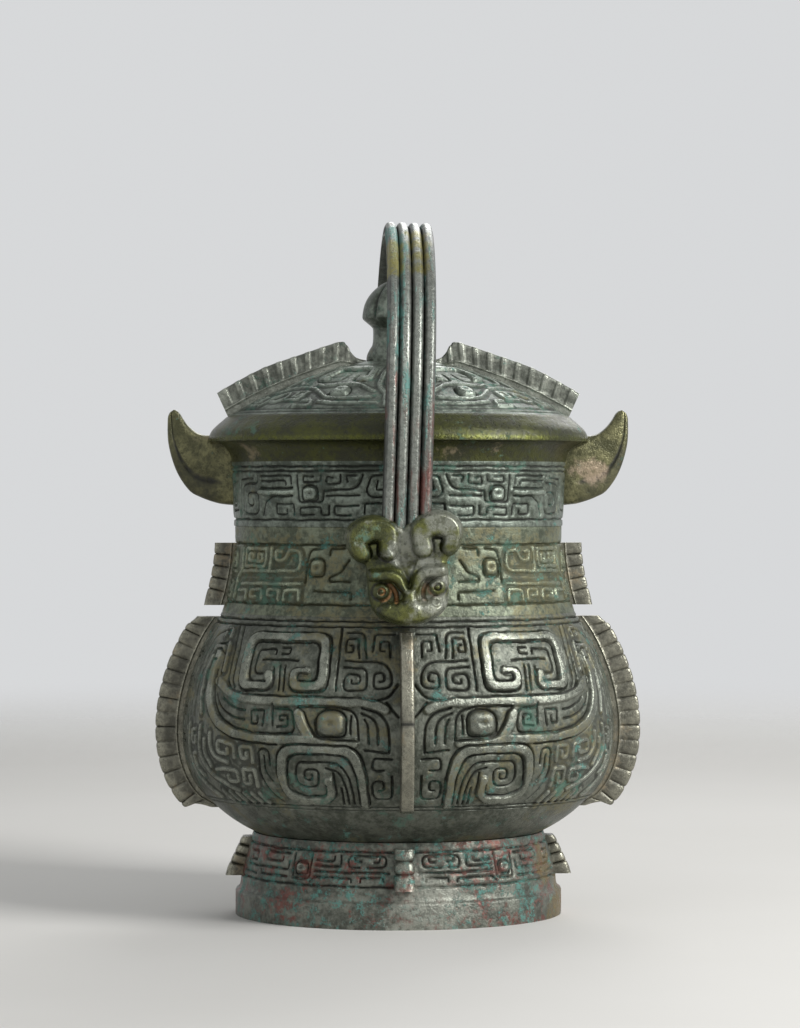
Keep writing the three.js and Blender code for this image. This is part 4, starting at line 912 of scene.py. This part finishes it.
FOOT_PANEL = Panel(
    width=88,
    depth=0.75,
    borders=(1.2, 14.4),
    eyes=[(42, 7.6, 2.3, 2, 0.8)],
    strokes=[
        (2.2, [(14.6, 8.4), (7.2, 8.6), (7, 12.9), (22.4, 12.9), (22.4, 8.4), (17.6, 8.4)]),
        (0.7, [(9.6, 12.6), (9.8, 10.6), (12, 10.6)]),
        (0.7, [(19.8, 12.6), (19.6, 10.6), (16.8, 10.6)]),
        (1, [(5.8, 6.5), (36, 6.6)]),
        (0.8, [(8, 3.2), (8.2, 4.6), (17, 4.6), (17, 3)]),
        (0.8, [(20.6, 3), (20.8, 4.4), (35.8, 4.4), (37.6, 2.6)]),
        (0.8, [(25.4, 12.9), (25.4, 8.8), (36, 8.8)]),
        (0.8, [(28, 12.6), (28.2, 10.8), (35.8, 10.8)]),
        (1, [(38, 12.9), (38.2, 3.8), (46, 3.6), (46, 12.9)]),
        (0.8, [(48.4, 12.8), (62, 12.7), (62, 9.4), (52, 9.4), (52, 11)]),
        (0.8, [(48.4, 9.6), (48.6, 6.6), (66, 6.6)]),
        (0.8, [(48.6, 3.8), (64, 3.8), (64, 5)]),
        (0.8, [(67, 3.4), (80, 3.6), (80, 12.8)]),
    ],
    coils=[(72, 9.6, 5, 3.2, 1, 1)],
)

ROOF_PANEL = Panel(
    width=95,
    depth=0.6,
    borders=(1.8, 4.2, 50),
    bands=[(4, [(24.6, 30.4), (21.2, 31), (21.6, 42.6), (58.2, 42.4), (57.4, 30.2), (52, 30.2)])],
    band_width=3.2,
    eyes=[(32, 18, 4.6, 3.8, 1.5)],
    pupil=(0.3, 0.3),
    strokes=[
        (5, [(40, 36), (40, 28), (60, 28), (62, 44), (20, 44.6), (18, 28.6), (32, 28.4), (32, 36)]),
        (4, [(46, 34), (53, 32.4), (54, 40.4), (26, 40.6), (25, 32.8)]),
        # border of the plain strip beside the crest
        (8, [(86.4, 4.4), (81.4, 18), (79.6, 32), (76, 50)]),
    ],
    ridges=[
        (3, [(4, 6.4), (4.4, 18), (9, 25), (9, 36), (5, 46)]),
        (3, [(8, 6.4), (8.6, 16), (13.4, 23), (13.6, 36), (11, 46)]),
        (3, [(12, 7.4), (30, 7.6), (38, 8.8)]),
        (4, [(15, 12.4), (24, 11.6), (36, 12), (43, 17), (46, 19)]),
        (4, [(15, 18), (24, 24.4), (36, 24.6), (44, 22.4), (50, 24)]),
        (3, [(78.6, 17.6), (70.6, 17), (66.8, 20.6), (58, 21.8), (48, 20)]),
        (2.5, [(68.5, 6), (66, 14), (60, 16.6), (57.4, 12), (61.6, 8.4), (65, 9.6)]),
        (1.2, [(48, 5.8), (40.6, 5.8), (41.4, 9.6), (46, 9.6)]),
        (8, [(71, 20.6), (74.6, 26), (74.4, 36), (70.6, 46)]),
        (3, [(60, 24.6), (66, 25), (69.4, 30), (69, 40), (66, 46)]),
        *[(COIL_BEND, coil(*sizes))
          for sizes in ((76.6, 10.4, 4.6, 3.8, 1, 1), (52.6, 14.4, 4.2, 3.8, -1, 1))],
    ],
)


# Walls carried round the oval


def oval_points(loop, angles):
    """A loop of (half-width r, height z) carried round the plan: x = r sin t, y = -k r cos t."""
    half_width, height = loop.T
    across = np.sin(angles)[:, None]
    toward = np.cos(angles)[:, None]
    return np.stack(
        [half_width * across, -DEPTH_RATIO * half_width * toward, height + 0 * across],
        axis=-1,
    )


def oval_normals(loop, angles):
    """Normals of that surface: the loop's normal, its flat part turned square to the oval's edge."""
    normal = line_normals(loop, closed=True)
    flat = np.stack([DEPTH_RATIO * np.sin(angles), -np.cos(angles)], axis=1)
    flat /= np.linalg.norm(flat, axis=1, keepdims=True)
    out = flat[:, None, :] * normal[None, :, :1]
    up = np.broadcast_to(normal[None, :, 1:], out[:, :, :1].shape)
    return np.concatenate([out, up], axis=-1)


def carve(panel, carved, rest, columns):
    """A panel's lift and hollowness over the carved part of a profile, with none over the rest."""
    plain = np.zeros((columns, len(rest)))
    return [np.hstack([part, plain]) for part in panel.relief(carved, columns)]


def oval_piece(name, loop, angles, lift, sunk, where, closed=True):
    """A wall carried round the oval and lifted along its normals."""
    points = oval_points(loop, angles) + oval_normals(loop, angles) * lift[:, :, None]
    add_piece(name, points, *where, closed=closed, hollow_and_shade=sunk)


def join_lines(*lines):
    """Polylines one after the other, with a shared end kept once."""
    joined = [np.asarray(lines[0], float)]
    for line in lines[1:]:
        line = np.asarray(line, float)
        same = np.allclose(line[0], joined[-1][-1])
        joined.append(line[1:] if same else line)
    return np.vstack(joined)


def offset(line, distance):
    """A polyline moved to the right of its direction."""
    return line + distance * line_normals(line)


def belly_quarters():
    """The carved belly in four quarters: one panel, mirrored about the front and the side."""
    columns = round(BELLY_PANEL.width / CARVING_STEP)
    outer = curve(BELLY, CARVING_STEP)
    inner = offset(curve(BELLY, BELLY_INSIDE_STEP), -WALL)[::-1]
    quarter = quarter_angles(columns)
    turns = {
        "front_right": quarter,
        "back_right": np.pi - quarter,
        "back_left": np.pi + quarter,
        "front_left": 2 * np.pi - quarter,
    }
    lift, sunk = carve(BELLY_PANEL, outer, inner, columns)
    where = (BODY, "vessel", "vessel_body", "body_bronze")
    for corner, angles in turns.items():
        oval_piece(f"belly_{corner}", np.vstack([outer, inner]), angles, lift, sunk, where, closed=False)


def oval_band(name, carved, rest, panel, where, step=BAND_STEP):
    """A full ring of wall: the panel's quarter, mirrored all round."""
    columns = round(panel.width / step)
    carved = spaced(carved, step)
    angles = all_round(quarter_angles(columns), np.pi)
    lift, sunk = (all_round(part) for part in carve(panel, carved, rest, columns))
    oval_piece(name, np.vstack([carved, rest]), angles, lift, sunk, where)


def neck_and_collar():
    """The carved neck, the ledge and the mouth collar, as one ring of wall."""
    inner = offset(curve(NECK, NECK_INSIDE_STEP), -WALL)[-2::-1]
    where = (NECK_BRONZE, "vessel", "vessel_body", "body_bronze")
    oval_band("neck", bezier(NECK), join_lines(COLLAR, inner), NECK_PANEL, where)


def under_belly():
    """The plain curve over the foot and the vessel's floor, from the middle below to the middle above."""
    outer = curve(UNDER_BELLY, UNDERSIDE_STEP)
    inner = offset(curve(UNDER_BELLY, UNDERSIDE_INSIDE_STEP), -WALL)[:1:-1]
    profile = join_lines(UNDERSIDE, outer, inner, FLOOR)
    angles = all_round(quarter_angles(UNDERSIDE_COLUMNS), np.pi)
    points = oval_points(profile, angles).transpose(1, 0, 2)
    add_piece("under_belly", points, BODY, "vessel", "vessel_body", "body_bronze")


def foot_ring():
    """The flared foot: a carved band over a plain base, and a plain inside."""
    rest = join_lines(FOOT_INSIDE, FOOT_BASE)[:-1]
    where = (FOOT, "vessel", "foot_ring", "body_bronze")
    oval_band("foot", np.array(FOOT_BAND, float), rest, FOOT_PANEL, where)


def lid_wall():
    """The carved skirt, and over it the smooth edge that hollows out and rounds in to the roof.

    A painted highlight runs along the rim of the edge: a bell curve of the height over the rim's top.
    """
    inside = np.array(LID_INSIDE, float)
    where = ("lid", "lid_shell", "lid_bronze")
    oval_band("lid_wall", np.array(LID_WALL, float), inside[2:], LID_PANEL, (LID, *where))
    cove = curve(LID_COVE, LID_EDGE_STEP)
    band = spaced(smooth_line(LID_BAND, CURVE_STEPS), LID_EDGE_STEP)
    profile = join_lines(cove, band, inside[:3])
    angles = all_round(quarter_angles(LID_EDGE_COLUMNS), np.pi)
    # Painted highlight: a bright line along the outer rim of the lid's edge, stored as negative hollowness
    # like a worn top.
    over_lip = profile[:, 1] - LID_BAND[0][1]
    lip_highlight = -WORN * bell(over_lip, LIP_HIGHLIGHT_HEIGHT) * (profile[:, 0] > LID_BAND[1][0])
    add_piece("lid_edge", oval_points(profile, angles), LID_EDGE, *where, closed=True, hollow_and_shade=lip_highlight[None, :])


def lid_roof():
    """The domed roof: its carved outside from the edge to the knob, and a plain inside."""
    outer = bezier(ROOF)
    outer = outer[outer[:, 0] > ROOF_HOLE]
    inner = offset(spaced(outer, ROOF_INSIDE_STEP), -ROOF_THICKNESS)[::-1]
    where = (LID, "lid", "lid_shell", "lid_bronze")
    oval_band("lid_roof", outer, inner, ROOF_PANEL, where, ROOF_STEP)


# Flanges


def upright(flat, side, turn):
    """Points (distance from the axis, height) with a sideways offset, turned about Z to their side."""
    distance, height = flat[..., 0], flat[..., 1]
    x = distance * math.cos(turn) - side * math.sin(turn)
    y = distance * math.sin(turn) + side * math.cos(turn)
    return np.stack([x, y, height], axis=-1)


def block_fall(t):
    """Broad blocks with narrow grooves between them: 1 less the square root of 1 - t^4."""
    return 1 - np.sqrt(1 - t**4)


def bar_fall(t):
    """Narrow bars with broad hollows between them: a smooth step on both sides of each bar."""
    return ease(BAR_TOP, BAR_FOOT, np.abs(t))


def flange(name, root, edge, turn, where, ribs, fall_at=block_fall, thickness=5.6, nick=0.7, plain=0.36,
           rib_depth=0.9, bevel=1.2, bead=0.0, shade=1.0):
    """A flange between a root line and an edge line, with ribs across its outer part.

    Each section runs out along one face, round the bevelled edge and back along the other. Along the
    flange each rib falls off to both sides, with t from -1 to 1, and where it falls the faces sink by a
    depth and the edge by a nick. A bead runs along the ribs' inner ends.
    """
    reach = np.linalg.norm(edge - root, axis=1)
    outward = (edge - root) / reach[:, None]
    share = np.sort(np.concatenate([np.linspace(0, 1, FACE_STEPS), plain + BEAD_SAMPLES]))
    arc = np.linspace(0, np.pi / 2, BEVEL_STEPS)[1:]
    fixed = np.concatenate([-bevel * share, bevel * (np.sin(arc) - 1)])
    scaled = np.concatenate([share, np.ones_like(arc)])
    half = np.concatenate([np.full_like(share, thickness / 2), thickness / 2 - bevel * (1 - np.cos(arc))])
    fixed = np.concatenate([fixed, fixed[::-1]])
    scaled = np.concatenate([scaled, scaled[::-1]])
    side = np.concatenate([half, -half[::-1]])
    place = np.linspace(0, ribs, len(root))
    in_rib = place % 1 * 2 - 1
    inner_ribs = (place > 0.5) & (place < ribs - 0.5)
    fall = fall_at(in_rib)[:, None] * inner_ribs[:, None]
    outer = ease(plain, plain + RIB_START, scaled)
    swell = bell(scaled - plain, BEAD_WIDTH)
    out = scaled * reach[:, None] + fixed - nick * fall * scaled**6
    thin = 1 - 2 / thickness * (rib_depth * fall * outer - bead * swell)
    flat = root[:, None, :] + outward[:, None, :] * out[:, :, None]
    points = upright(flat, side * thin, turn)
    bright_tops = ease(0.6, 1, scaled) * (1 - fall)
    bright_bead = np.maximum(swell, 0.6 * (1 - outer)) * (bead > 0)
    hollow_and_shade = shade * ease(0.45, 0.8, fall) * outer - WORN * np.maximum(bright_tops, bright_bead)
    add_piece(name, points, *where, hollow_and_shade=hollow_and_shade)


def wall_flange(name, walls, side, span, depth_at, ribs, material, shape):
    """A flange on a wall profile over a span of heights, with level ends and a depth along its length."""
    turn, ratio = SIDES[side]
    line = join_lines(*[bezier(wall, FLANGE_CURVE_STEPS) for wall in walls])
    line = line[(line[:, 1] >= span[0]) & (line[:, 1] <= span[1])] * (ratio, 1)
    wall = spaced(line, FLANGE_STEP)
    u = np.linspace(0, 1, len(wall))
    level = (1 - ease(0, FLANGE_LEVEL, u) + ease(1 - FLANGE_LEVEL, 1, u))[:, None]
    outward = (1 - level) * line_normals(wall) + level * np.array([1.0, 0.0])
    outward /= np.linalg.norm(outward, axis=1, keepdims=True)
    root = wall - FLANGE_SINK * outward
    edge = wall + depth_at(u)[:, None] * outward
    where = (material, "vessel", f"{name}_{side}", "flange_bronze")
    flange(f"{name}_{side}", root, edge, turn, where, ribs, **shape)


def belly_depth(u):
    """Deepest in the middle, by half a sine wave, and rounded off at the lower end."""
    swell = 1 - BELLY_FLANGE_SWELL + BELLY_FLANGE_SWELL * np.sin(np.pi * u)
    return BELLY_FLANGE_DEPTH * swell * np.sqrt(ease(-0.03, 0.1, u))


def neck_depth(u):
    """The same depth all along."""
    return np.full_like(u, NECK_FLANGE_DEPTH)


def foot_depth(u):
    """Tapering upwards, in proportion to the height."""
    return FOOT_FLANGE_DEPTH * (1 - FOOT_FLANGE_TAPER * u)


# Flanges of the vessel: name, sides, walls, span of heights, depth, number of ribs, bronze and shape
VESSEL_FLANGES = (
    ("belly_flange", "right left", (UNDER_BELLY, BELLY), (41.4, 115.5), belly_depth, 16, FLANGE, BEADED),
    ("neck_flange", "right left", (NECK,), (119.9, 144.1), neck_depth, 5, FLANGE, BEADED),
    ("foot_flange", "right left", (FOOT_BAND,), (15, 30), foot_depth, 4, FLANGE, HOOKS),
    ("belly_flange", "front back", (BELLY,), (44.9, 112), belly_depth, 2, FLANGE, SMOOTH),
    ("foot_flange", "front back", (FOOT_BAND,), (15, 30), foot_depth, 3, FOOT, STUDS),
)


def vessel_flanges():
    """Ribbed flanges at the sides, and nicked ones with studs under them at the front and back."""
    for side in SIDES:
        for name, sides, walls, *rest in VESSEL_FLANGES:
            if side in sides.split():
                wall_flange(name, walls, side, *rest)


def lid_flanges():
    """Crests on the roof: the root follows the roof's long profile and the edge the crest's own line."""
    roof = bezier(ROOF)[::-1]
    roof = roof[(roof[:, 0] > CREST_ENDS[0]) & (roof[:, 0] < CREST_ENDS[1])]
    root = spaced(roof, FLANGE_STEP) - (0, FLANGE_SINK)
    edge = even(smooth_line(CREST_LINE, CURVE_STEPS), len(root))
    for side in ("right", "left"):
        where = (CREST, "lid", f"lid_flange_{side}", "flange_bronze")
        flange(f"lid_flange_{side}", root, edge, SIDES[side][0], where, CREST_RIBS, bar_fall, **BARS)


def lid_horns():
    """Upturned hooks: sections between an outer and an inner line, each a rounded slab.

    Half the thickness is (1 - |2w - 1|^4)^(1/4) of the slab's, with a shallow groove inside its outer
    rim. The band outside the groove is darker and rougher, and the tip's outer side is worn.
    """
    outer = smooth_line(LID_HORN_OUTER, ROWS)
    inner = smooth_line(LID_HORN_INNER, ROWS)
    angle = full_turn(COLUMNS)
    share = 0.5 - 0.5 * np.sign(np.cos(angle)) * np.abs(np.cos(angle)) ** 0.5
    bulge = np.sign(np.sin(angle)) * np.abs(np.sin(angle)) ** 0.5
    u = np.linspace(0, 1, ROWS)[:, None]
    thickness = LID_HORN_ROOT - LID_HORN_THINNING * ease(0.1, 1, u)
    groove = bell(share - LID_HORN_GROOVE, LID_HORN_GROOVE_WIDTH)
    groove = groove * ease(0.12, 0.3, u) * (1 - ease(0.9, 1, u))
    flat = outer[:, None, :] + (inner - outer)[:, None, :] * share[None, :, None]
    side = thickness / 2 * bulge * (1 - LID_HORN_GROOVE_DEPTH * groove)
    band = 0.6 * (1 - ease(0.28, 0.36, share)) * ease(0.1, 0.3, u) * (1 - ease(0.6, 0.75, u))
    worn = WORN * ease(0.6, 1, u) * (1 - ease(0.1, 0.4, share))
    for name in ("right", "left"):
        points = upright(flat, side, SIDES[name][0])
        where = (HORN, "lid", f"lid_horn_{name}", "lid_bronze")
        add_piece(f"lid_horn_{name}", points, *where, hollow_and_shade=groove * 0.7 + band - worn)


def lid_knob():
    """A bud on a stem: a profile turned about Z, its cap pinched into petals by narrow seams."""
    profile = smooth_line(KNOB_PROFILE, ROWS)
    angle = full_turn(KNOB_COLUMNS)
    from_seam = np.abs((angle * KNOB_PETALS / (2 * np.pi)) % 1 - 0.5) * 2
    seam = (1 - ease(0.0, KNOB_SEAM, 1 - from_seam))[None, :]
    height = profile[:, 1:]
    pinch = seam * ease(*KNOB_CAP_START, height) * (1 - ease(*KNOB_CAP_END, height))
    points = turned(profile, angle, profile[:, :1] * (1 - KNOB_PINCH * pinch))
    add_piece("lid_knob", points, LID, "lid", "lid_knob", "lid_bronze", hollow_and_shade=pinch * 0.8)


# Bail


def lean(points):
    """Points in the bail's frame, turned about the hinge axis to where the loose bail stands."""
    x, y, z = np.moveaxis(points, -1, 0)
    turned_x = x * math.cos(BAIL_LEAN) + z * math.sin(BAIL_LEAN)
    turned_z = z * math.cos(BAIL_LEAN) - x * math.sin(BAIL_LEAN)
    return np.stack([turned_x, y, turned_z + HINGE_Z], axis=-1)


def bail_strap():
    """A strap with four rods along its outer face, carried up one leg, over a half circle and down.

    Across a rod, with t from -1 to 1, its height is the square root of 1 - |t|^3, over the grooves.
    """
    spring = STRAP_APEX - STRAP_INNER
    leg = spring - STRAP_FOOT
    total = 2 * leg + math.pi * STRAP_INNER
    place = np.linspace(0, total, STRAP_ROWS)
    turn = np.clip((place - leg) / STRAP_INNER, 0, math.pi)
    height = np.where(place < total / 2, np.minimum(place - leg, 0), np.minimum(total - place - leg, 0))
    outward = np.stack([-np.cos(turn), np.sin(turn)], axis=1)
    middle = np.stack([0 * turn, spring + height], axis=1)
    pitch = STRAP_WIDTH / STRAP_RIDGES
    across = np.linspace(-STRAP_WIDTH / 2, STRAP_WIDTH / 2, STRAP_FRONT_STEPS)
    in_rod = (across + STRAP_WIDTH / 2) / pitch % 1 * 2 - 1
    in_rod[-1] = 1
    rod = pillow(in_rod, 0)
    back = np.linspace(STRAP_WIDTH / 2, -STRAP_WIDTH / 2, STRAP_BACK_STEPS)
    x = np.concatenate([across, back]) + STRAP_SHIFT
    front = STRAP_PLATE - STRAP_GROOVE + (STRAP_RIDGE_HEIGHT + STRAP_GROOVE) * rod
    out = np.concatenate([front, STRAP_BACK_SWELL * (1 - (2 * back / STRAP_WIDTH) ** 8)])
    flat = middle[:, None, :] + outward[:, None, :] * (STRAP_INNER + out)[None, :, None]
    points = np.concatenate([np.broadcast_to(x[None, :, None], (*flat.shape[:2], 1)), flat], axis=-1)
    between = 1 - ease(0.3, 0.9, rod) - WORN * ease(0.9, 1, rod)
    hollow_and_shade = np.concatenate([between, np.full_like(back, 0.3)])[None, :]
    add_piece("bail_strap", lean(points), STRAP, "bail", "bail_strap", "bail_bronze", hollow_and_shade=hollow_and_shade)


def from_line(x, z, line):
    """Signed distance to a bar with round ends: to the nearest of its discs, less the disc's radius."""
    discs = smooth_line(line, MASK_DISCS)
    distance = np.hypot(x[..., None] - discs[:, 0], z[..., None] - discs[:, 1])
    return (distance - discs[:, 2]).min(axis=-1)


def domed(distance, width):
    """A rounded bar's height: a quarter circle from 0 at its edge to 1 at a width inside it."""
    inside = np.clip(-distance / width, 0, 1)
    return np.sqrt(1 - (1 - inside) ** 2)


def mask_height(x, z):
    """How far the face stands out of its back, and its hollowness, with painted shadow round the eyes and
    beside the horns' legs.

    Horns, brows, nose and muzzle are rounded bars on a plate, joined as the fourth root of the sum of
    their fourth powers. Between the horn's legs a tongue rises. Eyes and curls are half spheres.
    """
    wide = np.abs(x)
    from_horn = from_line(wide, z, MASK_HORN)
    bars = [height * domed(from_line(wide, z, line), width) for line, height, width in MASK_BARS]
    bars.append(MUZZLE_HEIGHT * pillow(wide / MUZZLE_HALF[0], (z - MUZZLE_Z) / MUZZLE_HALF[1]))
    bars = sum(bar**4 for bar in bars) ** 0.25
    face = FACE_HEIGHT * (1 - ease(*FACE_TOP, z))
    from_tongue = np.hypot((wide - TONGUE[0]) / TONGUE_HALF[0], (z - TONGUE[1]) / TONGUE_HALF[1])
    tongue = TONGUE_HEIGHT * (1 - ease(0.4, 1.0, from_tongue)) * ease(0.2, 1.0, from_horn)
    valley = ease(0, 1.4, VALLEY_SPREAD * (z - VALLEY_FOOT) - wide)
    valley *= ease(-8.6, -5.6, z) * (1 - ease(3, 9, z))
    from_crescent = np.hypot(wide - CRESCENT[0], (z - CRESCENT[1]) * CRESCENT_STRETCH) - CRESCENT_RADIUS
    crescent = (1 - ease(0.3, 1.1, np.abs(from_crescent))) * (1 - ease(7.4, 10, wide))
    crescent *= ease(-14, -12, z) * (1 - ease(-5.4, -4.4, z))
    from_eye = np.hypot(wide - EYE[0], z - EYE[1])
    pupil = bell(from_eye - PUPIL_RADIUS, PUPIL_WIDTH)
    eye = EYE_HEIGHT * ball(from_eye, EYE_RADIUS) - pupil
    # Painted shadow: a dark ring round each eye except at its top, with no hollow in the surface.
    socket = bell(from_eye - EYE_SHADOW_RADIUS, 0.6) * (1 - ease(-5, -4, z))
    from_curl = np.hypot(wide - CURL[0], z - CURL[1])
    curl = CURL_RADIUS * ball(from_curl, CURL_RADIUS) - CURL_HOLE * bell(from_curl - 0.3, 0.7)
    bosses = np.maximum(eye, 0) + np.maximum(curl - 0.3 * bars, 0)
    height = MASK_PLATE + face + bars + tongue - VALLEY_DEPTH * valley - CRESCENT_DEPTH * crescent + bosses
    # Painted shadow: a dark line beside the lower legs of the horns, weaker on their outer side, with no
    # hollow in the surface.
    shadow = 0.9 * bell(from_horn - 0.4, 0.5) * (z < 13) * (1 - 0.75 * ease(10.5, 14, wide))
    hollow_and_shade = np.maximum.reduce([crescent, socket, pupil, shadow, 0.6 * valley])
    return height, hollow_and_shade - 0.4 * WORN * ease(2.6, 3.6, bars)


def mask_side(points, facing):
    """Points (across, out from the mask's back, height), twisted a little, at the front or the back."""
    across, out, height = np.moveaxis(points, -1, 0)
    sideways = across * math.cos(MASK_TWIST) - height * math.sin(MASK_TWIST)
    raised = across * math.sin(MASK_TWIST) + height * math.cos(MASK_TWIST)
    return lean(np.stack([-facing * sideways, facing * (MASK_BACK + out), raised], axis=-1))


def bail_masks():
    """The animal masks: rings shrink from the outline to a centre, and each point stands out by the height.

    Near the outline the height falls along a quarter circle to the rim's thickness.
    """
    right = even(smooth_line(MASK_OUTLINE, CURVE_STEPS), MASK_STEPS)
    outline = np.vstack([right, right[-2:0:-1] * (-1, 1)])
    inner = np.linspace(MASK_HOLE, MASK_RIM_SHARE, MASK_RINGS)
    rim = np.linspace(MASK_RIM_SHARE, 1, MASK_RIM_RINGS)[1:]
    shrink = np.concatenate([inner, rim, [1.0]])
    flat = MASK_CENTRE + (outline - MASK_CENTRE)[None, :, :] * shrink[:, None, None]
    height, hollow_and_shade = mask_height(flat[..., 0], flat[..., 1])
    to_rim = np.min([np.hypot(*np.moveaxis(flat - point, -1, 0)) for point in outline], axis=0)
    out = MASK_EDGE + (height - MASK_EDGE) * domed(-to_rim, MASK_ROUND)
    out[-1] = 0
    points = np.stack([flat[..., 0], out, flat[..., 1]], axis=-1)
    for side, facing in (("front", -1), ("back", 1)):
        where = (MASK, "bail", f"bail_mask_{side}", "bail_bronze")
        add_piece(f"bail_mask_{side}", mask_side(points, facing), *where, hollow_and_shade=hollow_and_shade)


def dress_links():
    """The lugs and rings keep their solids and take the bronze of what they belong to."""
    for name, material in (("bail_lug", BODY), ("bail_ring", STRAP)):
        for side in ("front", "back"):
            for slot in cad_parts[f"{name}_{side}"].material_slots:
                slot.material = material


# Studio


def aim(thing, target):
    """Turns a lamp or camera so that its own -Z looks at a target."""
    direction = Vector(target) - Vector(thing.location)
    thing.rotation_euler = direction.to_track_quat("-Z", "Y").to_euler()


def paper_floor():
    """A pale disk of paper that fades into the background far from the object."""
    line = np.array(FLOOR_LINE) / MM
    mesh = fill_mesh("floor", turned(line, full_turn(COLUMNS), line[:, :1]), False, 0.0)
    finish = Finish(bpy.data.materials.new("floor_paper"))
    speckle = finish.noise(size=160, detail=3.0)
    distance = finish.vector("LENGTH", finish.place, (0, 0, 0), "Value")
    finish.surface("Base Color", finish.blend(speckle, PAPER, PALE_PAPER))
    finish.surface("Alpha", 1 - finish.step(distance, *FLOOR_FADE))
    finish.surface("Roughness", PAPER_ROUGHNESS)
    mesh.materials.append(finish.owner)
    floor = bpy.data.objects.new("floor", mesh)
    bpy.context.collection.objects.link(floor)


def soft_room():
    """A world that lights evenly, and looks pale to the camera and in what shines."""
    world = bpy.data.worlds.new("soft_room")
    finish = Finish(world, "Background")
    finish.surface("Color", (*AMBIENT, 1))
    ambient = Value(finish, finish.shader.outputs[0])
    seen = finish.node("ShaderNodeBackground", None, {"Color": (*BACKDROP, 1)})
    share = 0
    for kind in ("Camera", "Glossy", "Transmission"):
        share = seen.math("MAXIMUM", share, finish.node("ShaderNodeLightPath", output=f"Is {kind} Ray"))
    mix = finish.node("ShaderNodeMixShader", None, {0: share, 1: ambient, 2: seen})
    finish.connect(finish.tree.nodes["World Output"].inputs["Surface"], mix)
    bpy.context.scene.world = world


def studio():
    """The floor, the room and the soft lamps."""
    paper_floor()
    soft_room()
    for name, (place, size, power) in LAMPS.items():
        light = bpy.data.lights.new(name, "AREA")
        light.size = size
        light.energy = power
        lamp = bpy.data.objects.new(name, light)
        lamp.location = place
        aim(lamp, LAMP_TARGET)
        bpy.context.collection.objects.link(lamp)
    bpy.context.scene.view_settings.view_transform = "Standard"


def photo_camera():
    """The main camera, whose place, target and lens give the photograph's view."""
    lens = bpy.data.cameras.new("camera")
    lens.sensor_fit = "VERTICAL"
    lens.sensor_height = CAMERA_SENSOR
    lens.lens = CAMERA_LENS
    camera = bpy.data.objects.new("camera", lens)
    camera.location = CAMERA_PLACE
    aim(camera, CAMERA_TARGET)
    bpy.context.collection.objects.link(camera)
    bpy.context.scene.camera = camera


belly_quarters()
neck_and_collar()
under_belly()
foot_ring()
lid_wall()
lid_roof()
vessel_flanges()
lid_flanges()
lid_horns()
lid_knob()
bail_strap()
bail_masks()
dress_links()
studio()
photo_camera()
